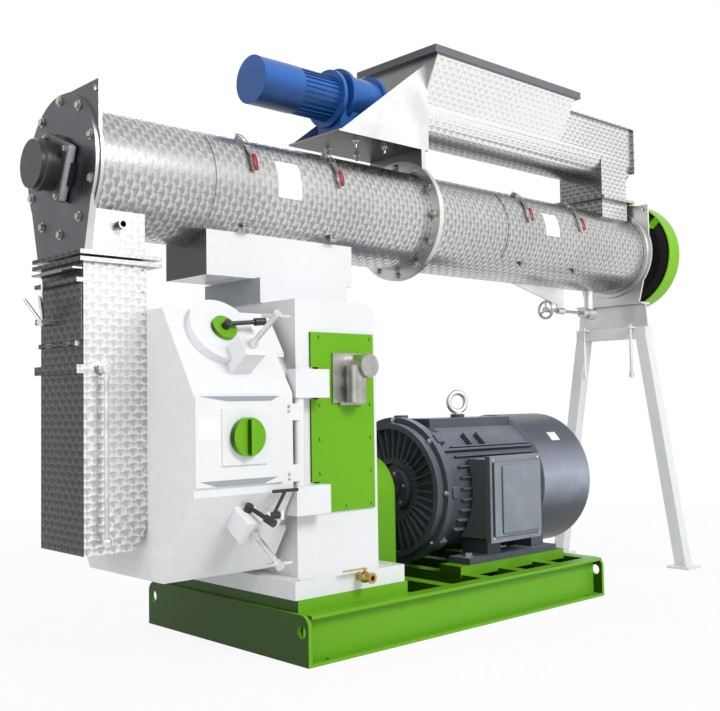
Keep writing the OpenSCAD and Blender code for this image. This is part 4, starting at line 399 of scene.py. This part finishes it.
FINISH_OF = {
    "green": ("base_frame", "base_deck", "gearbox_covers", "coupling_guard", "door_knob"),
    "bright": ("pulley_guard",),
    "white": ("gearbox_housing", "door_hinge_bracket", "drum_saddle", "support_legs"),
    "door": ("door_casing",),
    "motor": ("motor_frame", "motor_bell"),
    "fan": ("motor_fan_cover",),
    "box": ("motor_terminal_box",),
    "blue": ("feeder_gearmotor",),
    "drum": ("conditioner_drum", "drum_door_left", "drum_door_right"),
    "turned": ("feed_chute", "outlet_throat", "chute_door"),
    "duct": ("inlet_spout",),
    "near_lit_turned": ("feeder_trough",),
    "sheet": ("slide_gate", "feeder_screw", "conditioner_shaft"),
    "near_lit_sheet": ("drum_right_end", "support_bracket", "steam_valve", "lifting_eye"),
    "guard": ("feeder_base",),
    "steel": ("oil_pump", "main_shaft", "hollow_shaft", "ring_die", "press_roller_upper",
              "press_roller_lower", "knife_upper", "knife_lower", "handwheel"),
    "bright_steel": ("knife_screw_upper", "knife_screw_lower", "chute_lever", "chute_clamp"),
    "cast": ("main_gear", "pinion_shaft", "motor_rotor", "swing_bolt"),
    "black": ("conditioner_bearings", "conditioner_pulley", "clamp_lever_upper",
              "clamp_lever_lower"),
    "brass": ("drain_valve", "drain_lever"),
    "end": ("drum_left_end",),
}
LATCHES = ("latch_left_1", "latch_left_2", "latch_right_1", "latch_right_2")


def finish_nodes():
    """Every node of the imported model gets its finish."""
    by_node = {node: key for key, names in FINISH_OF.items() for node in names}
    by_node.update({node: "steel" for node in LATCHES})
    for name, piece in NODES.items():
        piece.data.materials.clear()
        piece.data.materials.append(FINISH[by_node[name]])


finish_nodes()

TO_DOOR = -0.9
FLANGE_RISE = 0.008
NEAR_RIM = 0.001
DISC_PLACE = Vector((-1.125, -0.317, 1.170))
DISC_OUT = Vector((0.0, -0.845, 0.535))
DISC_R = 0.0495
DISC_BOSS = 0.0385
CROSSBAR_Z = (1.262, 1.334)
SADDLE_LOW = 1.410
RIM_LOW = 2.475
HOPPER_X1 = 1.190


def face_finish(name, finish, chosen):
    """Faces of a node whose middle and direction pass the test get another finish."""
    node = NODES[name]
    node.data.materials.append(FINISH[finish])
    slot = len(node.data.materials) - 1
    turn = node.matrix_world.to_3x3()
    for face in node.data.polygons:
        if chosen(node.matrix_world @ face.center, turn @ face.normal):
            face.material_index = slot


def on_disc(place, facing):
    reach = place - DISC_PLACE
    height = reach.dot(DISC_OUT)
    return height > DISC_BOSS and (reach - DISC_OUT * height).length < DISC_R


face_finish("door_casing", "green", on_disc)
# Painted shade: the white saddle's faces toward the door get grey below and deep grey above, where they lie
# in shadow.
face_finish("drum_saddle", "shade", lambda place, facing: facing.x < TO_DOOR and place.z < SADDLE_LOW)
face_finish("drum_saddle", "deep_shade", lambda place, facing: facing.x < TO_DOOR and place.z > SADDLE_LOW)
# Painted light: the drum's middle flange gets the plain sheet that is lit on its near side.
face_finish("conditioner_drum", "near_lit_sheet",
            lambda place, facing: Vector((place.y, place.z - DRUM_Z)).length > DRUM_R + FLANGE_RISE
            and RIM_X[0] - NEAR_RIM < place.x < RIM_X[1] + NEAR_RIM)
# Painted light and reflection: the left end's faces that don't look toward the door get the lit rim sheet,
# the trough past the hopper a less lit copy of the turned sheet, and the hopper's top rim the dark painted
# reflection of the end.
face_finish("drum_left_end", "rim", lambda place, facing: facing.x > -0.5)
face_finish("feeder_trough", "duct", lambda place, facing: place.x > HOPPER_X1)
face_finish("feeder_trough", "end", lambda place, facing: place.z > RIM_LOW)
face_finish("support_bracket", "white",
            lambda place, facing: CROSSBAR_Z[0] < place.z < CROSSBAR_Z[1] and abs(facing.z) < 0.5)


# Mesh building

def piece(name, mesh, finish, body, smooth=35.0):
    """A shown object made from the bmesh, in its finish, riding on a body."""
    data = bpy.data.meshes.new(name)
    mesh.to_mesh(data)
    mesh.free()
    data.materials.append(FINISH[finish])
    data.shade_smooth()
    data.set_sharp_from_angle(angle=math.radians(smooth))
    made = bpy.data.objects.new(name, data)
    bpy.context.scene.collection.objects.link(made)
    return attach(made, body)


def looking(direction, place):
    """Transform that puts local Z along a direction, at a place."""
    turn = Vector(direction).normalized().to_track_quat("Z", "Y")
    return Matrix.Translation(place) @ turn.to_matrix().to_4x4()


def lathe(mesh, profile, transform, segments=32):
    """Solid of revolution about local Z from (radius, height) points, closed at both ends."""
    rings = []
    for radius, height in profile:
        if radius < 1e-6:
            rings.append([mesh.verts.new(transform @ Vector((0, 0, height)))])
            continue
        rings.append([mesh.verts.new(transform @ Vector((radius * math.cos(a), radius * math.sin(a), height)))
                      for a in (2 * math.pi * i / segments for i in range(segments))])
    for low, high in zip(rings, rings[1:]):
        for i in range(segments):
            j = (i + 1) % segments
            corners = [low[i % len(low)], low[j % len(low)], high[j % len(high)], high[i % len(high)]]
            unique = list(dict.fromkeys(corners))
            if len(unique) > 2:
                mesh.faces.new(unique)
    for ring, flip in ((rings[0], True), (rings[-1], False)):
        if len(ring) > 1:
            mesh.faces.new(ring[::-1] if flip else ring)


def hex_bolt(mesh, place, direction, radius):
    """Washer and six-sided head with a turned top."""
    transform = looking(direction, place)
    washer = radius * 0.25
    lathe(mesh, [(radius * 1.7, -washer), (radius * 1.7, washer), (radius * 1.1, washer)], transform, 20)
    lathe(mesh, [(radius * 1.25, washer), (radius * 1.25, radius), (radius * 0.9, radius * 1.25)],
          transform, 6)


def button_screw(mesh, place, direction, radius):
    """Low domed screw head."""
    lathe(mesh, [(radius * 1.2, -radius * 0.2), (radius * 1.2, radius * 0.1), (radius, radius * 0.5),
                 (radius * 0.6, radius * 0.75), (0.0, radius * 0.8)], looking(direction, place), 16)


def soft_block(mesh, low, high, bevel, transform=Matrix.Identity(4), segments=2):
    """Block between two corners with rounded edges."""
    low, high = Vector(low), Vector(high)
    made = bmesh.new()
    bmesh.ops.create_cube(made, size=1.0)
    for vertex in made.verts:
        vertex.co = Vector(low[k] + (vertex.co[k] + 0.5) * (high[k] - low[k]) for k in range(3))
    bmesh.ops.bevel(made, geom=made.edges[:], offset=bevel, segments=segments, profile=0.5,
                    affect="EDGES", clamp_overlap=True)
    copy = {v: mesh.verts.new(transform @ v.co) for v in made.verts}
    for face in made.faces:
        mesh.faces.new([copy[v] for v in face.verts])
    made.free()


def skin(mesh, rows):
    """Closed skin through rows of corners, with a face on each end."""
    count = len(rows[0])
    for low, high in zip(rows, rows[1:]):
        for k in range(count):
            following = (k + 1) % count
            mesh.faces.new((low[k], low[following], high[following], high[k]))
    mesh.faces.new(rows[0][::-1])
    mesh.faces.new(rows[-1])
    bmesh.ops.recalc_face_normals(mesh, faces=mesh.faces[:])


def rod(mesh, start, end, radius, segments=20):
    """Round bar between two points with slightly broken edges."""
    start, end = Vector(start), Vector(end)
    length = (end - start).length
    edge = radius * 0.15
    lathe(mesh, [(radius - edge, 0), (radius, edge), (radius, length - edge), (radius - edge, length)],
          looking(end - start, start), segments)


def ring_places(centre, radius, count, start=0.0):
    """Places round a circle that lies across X."""
    for i in range(count):
        angle = math.radians(start) + 2 * math.pi * i / count
        yield Vector((centre[0], centre[1] + radius * math.cos(angle), centre[2] + radius * math.sin(angle)))


# Bolts of the drum flanges, the covers and the feet
FLANGE_BOLT_R = 0.0105
RIM_BOLTS = 12
END_BOLTS = 10
END_BOLT_PCD_R = 0.236
LEFT_BOLT_START = 18
END_RING = ((0.2262, 0.012), (0.2262, 0.0), (0.250, 0.0), (0.250, 0.010), (0.248, 0.012))


def drum_bolts():
    mesh = bmesh.new()
    pcd_r = (RIM_R + DRUM_R) / 2
    for place in ring_places((0, 0, DRUM_Z), pcd_r, RIM_BOLTS):
        hex_bolt(mesh, (RIM_X[0], place.y, place.z), (-1, 0, 0), FLANGE_BOLT_R)
        hex_bolt(mesh, (RIM_X[1], place.y, place.z), (1, 0, 0), FLANGE_BOLT_R)
    for place in ring_places((LEFT_END[0].x, 0, DRUM_Z), END_BOLT_PCD_R, END_BOLTS, LEFT_BOLT_START):
        hex_bolt(mesh, place, (-1, 0, 0), FLANGE_BOLT_R)
    for place in ring_places((RIGHT_END[1].x, 0, DRUM_Z), END_BOLT_PCD_R, END_BOLTS):
        hex_bolt(mesh, place, (1, 0, 0), FLANGE_BOLT_R)
    piece("drum_flange_bolts", mesh, "steel", "frame")
    mesh = bmesh.new()
    # The end ring gets the plain sheet with painted light on its near side.
    lathe(mesh, END_RING, looking((-1, 0, 0), (RIGHT_END[0].x + 0.001, 0, DRUM_Z)), 72)
    piece("drum_end_ring", mesh, "near_lit_sheet", "frame")


drum_bolts()

COVER_BOLT_R = 0.0065
COVER_BOLT_INSET = 0.018
COVER_BOLTS = 6
COVER_LEFT_X = -0.718


def cover_bolts():
    """Round headed screws along both edges of the gearbox covers, and one below."""
    mesh = bmesh.new()
    right_x = COVERS[1].x - COVER_BOLT_INSET
    bottom_z = COVERS[0].z + COVER_BOLT_INSET
    top_z = COVERS[1].z - COVER_BOLT_INSET
    for side, y in ((-1, COVERS[0].y), (1, COVERS[1].y)):
        for i in range(COVER_BOLTS):
            z = bottom_z + (top_z - bottom_z) * i / (COVER_BOLTS - 1)
            button_screw(mesh, (right_x, y, z), (0, side, 0), COVER_BOLT_R)
            if i != COVER_BOLTS - 2:
                button_screw(mesh, (COVER_LEFT_X, y, z), (0, side, 0), COVER_BOLT_R)
        button_screw(mesh, ((COVER_LEFT_X + right_x) / 2, y, bottom_z), (0, side, 0), COVER_BOLT_R)
    piece("cover_screws", mesh, "green", "frame")


cover_bolts()


# Left bearing: square cast flange under the round cap, with its bolts and the lip of the cap
BEARING_HALF = 0.102
BEARING_T = 0.034
BEARING_TURN = math.radians(24)
BEARING_BOLT_R = 0.009
CAP_R = 0.085
CAP_LIP = 0.006


def left_bearing():
    x = LEFT_END[0].x
    turn = Matrix.Translation((x, 0, DRUM_Z)) @ Matrix.Rotation(BEARING_TURN, 4, "X")
    mesh = bmesh.new()
    soft_block(mesh, (-BEARING_T, -BEARING_HALF, -BEARING_HALF), (0.0, BEARING_HALF, BEARING_HALF),
               0.012, turn, 3)
    piece("bearing_flange", mesh, "bearing", "frame")
    cap_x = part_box("conditioner_bearings")[0].x
    mesh = bmesh.new()
    lathe(mesh, [(CAP_R + 0.0005, 0.0), (CAP_R + CAP_LIP, 0.004), (CAP_R + CAP_LIP, 0.020),
                 (CAP_R + 0.0005, 0.026)], looking((-1, 0, 0), (cap_x + 0.040, 0, DRUM_Z)), 48)
    piece("bearing_cap_lip", mesh, "black", "frame")
    mesh = bmesh.new()
    reach = BEARING_HALF * 0.8
    for side_y in (-1, 1):
        for side_z in (-1, 1):
            place = turn @ Vector((-BEARING_T, side_y * reach, side_z * reach))
            hex_bolt(mesh, place, (-1, 0, 0), BEARING_BOLT_R)
    piece("bearing_bolts", mesh, "steel", "frame")


left_bearing()


# Drum latches and labels
HANDLE_A = 41.0
LATCH_SHARE = 0.22
LATCH_R = 0.2358
STRIKE_HALF = 0.022
STRIKE_A = (HANDLE_A - 5, HANDLE_A + 5.5)
WIRE_A = (HANDLE_A + 1, 49, 54, 60)
WIRE_R = 0.0022
WIRE_RUN_R = LATCH_R + 0.009
WIRE_OFFSET = 0.011
PIN_HALF = 0.013
PIN_R = 0.0045
GRIP_A = (27.0, 12.0)
GRIP_R = 0.2385
GRIP_HALF = 0.0090
GRIP_T = 0.0055
GRIP_STEPS = 6
GRIP_OUTLINE = ((-1, -0.5), (-0.6, -1), (0.6, -1), (1, -0.5), (1, 0.5), (0.6, 1), (-0.6, 1), (-1, 0.5))
LABEL_A = {"left": (-9.0, 29.0), "right": (-2.0, 28.0)}
LABEL_HALF = 0.058
HATCH_R = 0.2286


def round_drum(x, angle, radius):
    """Point on a circle round the drum axis; 0 degrees is the near side."""
    a = math.radians(angle)
    return Vector((x, -radius * math.cos(a), DRUM_Z + radius * math.sin(a)))


def drum_patch(mesh, x, angles, radii, steps):
    """Curved plate on the drum between two places along X and two angles."""
    rows = []
    for i in range(steps + 1):
        a = angles[0] + (angles[1] - angles[0]) * i / steps
        rows.append([mesh.verts.new(round_drum(px, a, r)) for px, r in
                     ((x[0], radii[0]), (x[1], radii[0]), (x[1], radii[1]), (x[0], radii[1]))])
    skin(mesh, rows)


def bent_bar(mesh, points, radius, segments=12):
    """Round bar through a row of points."""
    for start, end in zip(points, points[1:]):
        rod(mesh, start, end, radius, segments)


def latch_fittings(side, number, x, hatch, catch):
    name = f"{side}_{number}"
    mesh = bmesh.new()
    drum_patch(mesh, (x - STRIKE_HALF, x + STRIKE_HALF), STRIKE_A, (HATCH_R - 0.001, HATCH_R + 0.002), 4)
    for offset in (-WIRE_OFFSET, WIRE_OFFSET):
        bent_bar(mesh, [round_drum(x + offset, a, WIRE_RUN_R) for a in WIRE_A], WIRE_R)
    bars = ((WIRE_A[-1], WIRE_RUN_R, WIRE_R, 12), (HANDLE_A, LATCH_R, PIN_R, 16))
    for angle, run_r, radius, segments in bars:
        rod(mesh, round_drum(x - PIN_HALF, angle, run_r), round_drum(x + PIN_HALF, angle, run_r),
            radius, segments)
    piece(f"latch_loop_{name}", mesh, "steel", hatch)
    mesh = bmesh.new()
    rows = []
    for i in range(GRIP_STEPS + 1):
        share = i / GRIP_STEPS
        a = GRIP_A[0] + (GRIP_A[1] - GRIP_A[0]) * share
        half = GRIP_HALF * (0.85 + 0.3 * math.sin(math.pi * share))
        r = GRIP_R + 0.012 - 0.006 * share
        rows.append([mesh.verts.new(round_drum(x + dx * half, a, r + dr * GRIP_T))
                     for dx, dr in GRIP_OUTLINE])
    skin(mesh, rows)
    piece(f"latch_grip_{name}", mesh, "red", catch)


def drum_fittings():
    for side in ("left", "right"):
        low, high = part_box(f"drum_door_{side}")
        x0, x1 = low.x, high.x
        hatch = f"drum_hatch_{side}"
        for number, share in ((1, LATCH_SHARE), (2, 1 - LATCH_SHARE)):
            latch_fittings(side, number, x0 + (x1 - x0) * share, hatch, f"catch_{side}_{number}")
        middle = (x0 + x1) / 2 - (0.045 if side == "left" else 0.04)
        mesh = bmesh.new()
        drum_patch(mesh, (middle - LABEL_HALF, middle + LABEL_HALF), LABEL_A[side],
                   (HATCH_R - 0.0005, HATCH_R + 0.0008), 10)
        piece(f"drum_plate_{side}", mesh, "plate", hatch)


drum_fittings()


# Press door: bare plate, thin lever and screws
PANEL_Y = -0.460
DOOR_PLATE_X = (-1.308, -1.222)
DOOR_PLATE_Z = (0.802, 0.882)
THIN_LEVER = (Vector((-1.085, -0.350, 1.152)), Vector((-0.990, -0.372, 1.134)))
HINGE_SCREW_X = -0.918
HINGE_SCREW_Y = -0.4505
HINGE_SCREW_Z = (0.655, 0.672, 0.896, 0.913)
KNOB_PLACE = Vector((-1.120, -0.468, 0.812))
KNOB_SCREW_STEP = 0.040


def door_fittings():
    mesh = bmesh.new()
    soft_block(mesh, (DOOR_PLATE_X[0], PANEL_Y - 0.0015, DOOR_PLATE_Z[0]),
               (DOOR_PLATE_X[1], PANEL_Y + 0.0005, DOOR_PLATE_Z[1]), 0.0006)
    piece("door_plate", mesh, "plate", "door")
    mesh = bmesh.new()
    for z in HINGE_SCREW_Z:
        button_screw(mesh, (HINGE_SCREW_X, HINGE_SCREW_Y, z), (0, -1, 0), 0.005)
    for dx in (-KNOB_SCREW_STEP, KNOB_SCREW_STEP):
        for dz in (-KNOB_SCREW_STEP, KNOB_SCREW_STEP):
            button_screw(mesh, KNOB_PLACE + Vector((dx, 0, dz)), (0, -1, 0), 0.004)
    piece("door_screws", mesh, "steel", "door")
    mesh = bmesh.new()
    start, end = THIN_LEVER
    rod(mesh, start, end, 0.0045)
    lathe(mesh, [(0.0, -0.009), (0.007, -0.006), (0.009, 0.0), (0.007, 0.006), (0.0, 0.009)],
          looking(end - start, end), 16)
    piece("door_thin_lever", mesh, "black", "door")


door_fittings()


# Painted shade above and below the side panel: flat dark plates, outlined in X and Z, stand for shaded
# recesses
RECESS_SHADE_Y = (-0.4612, -0.4595)
PAINTED_RECESS_SHADES = (
    ((-1.302, 0.951), (-1.190, 0.934), (-1.005, 0.934), (-0.968, 0.951)),
    ((-1.302, 0.668), (-1.235, 0.648), (-1.040, 0.648), (-0.975, 0.668)),
)


def painted_recess_shade():
    mesh = bmesh.new()
    for outline in PAINTED_RECESS_SHADES:
        front, back = ([mesh.verts.new((x, y, z)) for x, z in outline] for y in RECESS_SHADE_Y)
        mesh.faces.new(front)
        mesh.faces.new(back[::-1])
        for i, corner in enumerate(front):
            k = (i + 1) % len(front)
            mesh.faces.new((corner, back[i], back[k], front[k]))
    bmesh.ops.recalc_face_normals(mesh, faces=mesh.faces[:])
    piece("painted_recess_shade", mesh, "shade", "door")


painted_recess_shade()


# Feeder base: bolts that hang from its plate
BASE_BOLT_X = (-0.241, -0.067)
BASE_BOLT_Y = (-0.093, 0.093)
BASE_Z = 2.062
BASE_BOLT_R = 0.009
THREAD_L = 0.030


def feeder_bolts():
    mesh = bmesh.new()
    for x in BASE_BOLT_X:
        for y in BASE_BOLT_Y:
            hex_bolt(mesh, (x, y, BASE_Z), (0, 0, -1), BASE_BOLT_R)
            rod(mesh, (x, y, BASE_Z), (x, y, BASE_Z - THREAD_L), BASE_BOLT_R * 0.7)
    piece("feeder_base_bolts", mesh, "bright_steel", "frame")


feeder_bolts()


# Feed chute: rivets of its side sheet
RIVET_X = -1.336
RIVET_Y = -0.160
RIVET_Z = (0.470, 1.400)
RIVETS = 13


def chute_rivets():
    mesh = bmesh.new()
    for i in range(RIVETS):
        z = RIVET_Z[0] + (RIVET_Z[1] - RIVET_Z[0]) * i / (RIVETS - 1)
        button_screw(mesh, (RIVET_X, RIVET_Y, z), (0, -1, 0), 0.0045)
    piece("chute_rivets", mesh, "steel", "door")


chute_rivets()


# Main motor: bolts, bare plates, lid screws, cooling slots and pads
MOTOR_BELL_X = (BELL[0].x, BELL[1].x)
BELL_R = 0.327
FAN_PLATE_X = (0.890, 0.955)
FAN_PLATE_A = (37.0, 46.0)
LUG_A = (0, 45, 90, 135, 180, 225, 270, 315)
LUG_R = 0.310
ROOT_R = 0.300
GUSSETS = ((0.300, 46), (0.390, 46))
LEDGE_A = 35.0
LEDGE_X1 = 0.725
SLOT_A = (56, 60, 64, 68, 72, 76, 80)
SLOT_X = 0.165
RING_X = 0.053
RING_BOLT_R = 0.314
FOOT_BOLT_X = (0.210, 0.710)
FOOT_BOLT_Y = 0.2965
FOOT_TOP_Z = 0.240
HUB_BOLT_A = (15, 75, 135, 195, 255, 315)
HUB_BOLT_PCD_R = 0.076
HUB_RISE = 0.020
LID_Y = -0.430
LID_FRONT = -0.444
LID_PANEL_X = (0.270, 0.530)
LID_PANEL_Z = (0.340, 0.640)


def round_motor(x, angle, radius):
    """Point on a circle round the motor axis; 0 degrees is the near side."""
    a = math.radians(angle)
    return Vector((x, -radius * math.cos(a), MOTOR_Z + radius * math.sin(a)))


def on_motor(x, angle, radius):
    """Transform to a place round the motor axis, with local Z away from the axis."""
    return Matrix.Translation(round_motor(x, angle, radius)) @ Matrix.Rotation(
        math.radians(90 - angle), 4, "X")


def motor_fittings():
    mesh = bmesh.new()
    for angle in LUG_A:
        soft_block(mesh, (-0.012, -0.026, -0.020), (0.036, 0.026, 0.026), 0.006,
                   on_motor(MOTOR_BELL_X[1], angle, LUG_R))
    for place_x, angle in GUSSETS:
        soft_block(mesh, (-0.006, -0.040, -0.010), (0.006, 0.030, 0.026), 0.002,
                   on_motor(place_x, angle, ROOT_R))
    soft_block(mesh, (MOTOR_BELL_X[1], -0.006, -0.010), (LEDGE_X1, 0.006, 0.020), 0.002,
               on_motor(0, LEDGE_A, ROOT_R))
    piece("motor_lugs", mesh, "motor", "frame")
    mesh = bmesh.new()
    for angle in SLOT_A:
        soft_block(mesh, (-0.022, -0.005, -0.004), (0.022, 0.005, 0.0012), 0.0008,
                   on_motor(SLOT_X, angle, ROOT_R))
    piece("motor_air_slots", mesh, "black", "frame")
    mesh = bmesh.new()
    for angle in LUG_A:
        hex_bolt(mesh, round_motor(RING_X, angle, RING_BOLT_R), (-1, 0, 0), 0.008)
    for x in (TERMINAL[0].x + 0.018, TERMINAL[1].x - 0.042):
        for z in (TERMINAL[0].z + 0.018, TERMINAL[1].z - 0.018):
            hex_bolt(mesh, (x, LID_Y, z), (0, -1, 0), 0.0055)
    for side in (-1, 1):
        for x in FOOT_BOLT_X:
            hex_bolt(mesh, (x, side * FOOT_BOLT_Y, FOOT_TOP_Z), (0, 0, 1), 0.014)
    for angle in HUB_BOLT_A:
        place = round_motor(MOTOR_BELL_X[0] + HUB_RISE, angle, HUB_BOLT_PCD_R)
        hex_bolt(mesh, place, (-1, 0, 0), 0.006)
    piece("motor_bolts", mesh, "steel", "frame")
    mesh = bmesh.new()
    soft_block(mesh, (LID_PANEL_X[0], LID_FRONT - 0.010, LID_PANEL_Z[0]),
               (LID_PANEL_X[1], LID_FRONT + 0.012, LID_PANEL_Z[1]), 0.0105)
    piece("terminal_lid_panel", mesh, "box", "frame")
    mesh = bmesh.new()
    rows = []
    for i in range(7):
        a = FAN_PLATE_A[0] + (FAN_PLATE_A[1] - FAN_PLATE_A[0]) * i / 6
        rows.append([mesh.verts.new(round_motor(x, a, r)) for x, r in
                     ((FAN_PLATE_X[0], BELL_R - 0.0005), (FAN_PLATE_X[1], BELL_R - 0.0005),
                      (FAN_PLATE_X[1], BELL_R + 0.001), (FAN_PLATE_X[0], BELL_R + 0.001))])
    skin(mesh, rows)
    piece("fan_cover_plate", mesh, "plate", "frame")


motor_fittings()


# Camera, lights and floor

def place_camera():
    data = bpy.data.cameras.new("photo_camera")
    data.lens = PHOTO_LENS
    data.sensor_width = SENSOR_WIDTH
    data.clip_end = 60.0
    camera = bpy.data.objects.new("photo_camera", data)
    bpy.context.scene.collection.objects.link(camera)
    forward = CAMERA_FORWARD.normalized()
    right = (CAMERA_RIGHT - forward * CAMERA_RIGHT.dot(forward)).normalized()
    up = right.cross(forward)
    turn = Matrix((right, up, -forward)).transposed()
    camera.matrix_world = Matrix.Translation(CAMERA_PLACE) @ turn.to_4x4()
    bpy.context.scene.camera = camera


def soft_lamp(name, place, target, size, power):
    data = bpy.data.lights.new(name, "AREA")
    data.shape = "DISK"
    data.size = size
    data.energy = power
    lamp = bpy.data.objects.new(name, data)
    bpy.context.scene.collection.objects.link(lamp)
    lamp.matrix_world = looking(Vector(place) - Vector(target), place)


def seen_directly(tree):
    """1 for camera, glossy and transmission rays, else 0."""
    path = tree.nodes.new("ShaderNodeLightPath")
    total = path.outputs["Is Camera Ray"]
    for ray in ("Is Glossy Ray", "Is Transmission Ray"):
        node = tree.nodes.new("ShaderNodeMath")
        node.operation = "MAXIMUM"
        tree.links.new(total, node.inputs[0])
        tree.links.new(path.outputs[ray], node.inputs[1])
        total = node.outputs[0]
    return total


AMBIENT = 0.58
FLOOR_REACH = 30.0
FLOOR_GLOW = 0.90
GLOW_REACH = (2.4, 5.5)


def light_and_floor():
    world = bpy.data.worlds.new("studio")
    bpy.context.scene.world = world
    world.use_nodes = True
    tree = world.node_tree
    background = tree.nodes["Background"]
    background.inputs["Color"].default_value = (1, 1, 1, 1)
    mix = tree.nodes.new("ShaderNodeMapRange")
    tree.links.new(seen_directly(tree), mix.inputs["Value"])
    mix.inputs["To Min"].default_value = AMBIENT
    mix.inputs["To Max"].default_value = 1.0
    tree.links.new(mix.outputs["Result"], background.inputs["Strength"])

    middle = (0.2, 0, 1.2)
    soft_lamp("key", (0.2, -6.8, 5.0), middle, 3.0, 330)
    soft_lamp("fill", (-5.5, -2.8, 3.0), middle, 4.0, 45)
    soft_lamp("back", (2.0, 5.5, 4.5), middle, 4.0, 110)

    mesh = bmesh.new()
    bmesh.ops.create_grid(mesh, x_segments=1, y_segments=1, size=FLOOR_REACH)
    data = bpy.data.meshes.new("floor")
    mesh.to_mesh(data)
    mesh.free()
    floor = bpy.data.objects.new("floor", data)
    bpy.context.scene.collection.objects.link(floor)
    floor.location.z = -0.0005
    material = bpy.data.materials.new("floor_white")
    material.use_nodes = True
    nodes, links = material.node_tree.nodes, material.node_tree.links
    bsdf = nodes["Principled BSDF"]
    bsdf.inputs["Base Color"].default_value = (0.85, 0.85, 0.85, 1)
    bsdf.inputs["Roughness"].default_value = 0.9
    bsdf.inputs["Specular IOR Level"].default_value = 0.0
    glow = nodes.new("ShaderNodeEmission")
    mixed = nodes.new("ShaderNodeMixShader")
    share = nodes.new("ShaderNodeMath")
    share.operation = "MULTIPLY"
    links.new(seen_directly(material.node_tree), share.inputs[0])
    away = nodes.new("ShaderNodeVectorMath")
    away.operation = "LENGTH"
    links.new(nodes.new("ShaderNodeNewGeometry").outputs["Position"], away.inputs[0])
    fade = nodes.new("ShaderNodeMapRange")
    links.new(away.outputs["Value"], fade.inputs["Value"])
    fade.inputs["From Min"].default_value = GLOW_REACH[0]
    fade.inputs["From Max"].default_value = GLOW_REACH[1]
    fade.inputs["To Min"].default_value = FLOOR_GLOW
    fade.inputs["To Max"].default_value = 1.0
    links.new(fade.outputs["Result"], share.inputs[1])
    links.new(share.outputs[0], mixed.inputs["Fac"])
    links.new(bsdf.outputs[0], mixed.inputs[1])
    links.new(glow.outputs[0], mixed.inputs[2])
    links.new(mixed.outputs[0], nodes["Material Output"].inputs["Surface"])
    data.materials.append(material)


place_camera()
light_and_floor()
bpy.context.scene.view_settings.view_transform = "Standard"

bpy.context.view_layer.update()
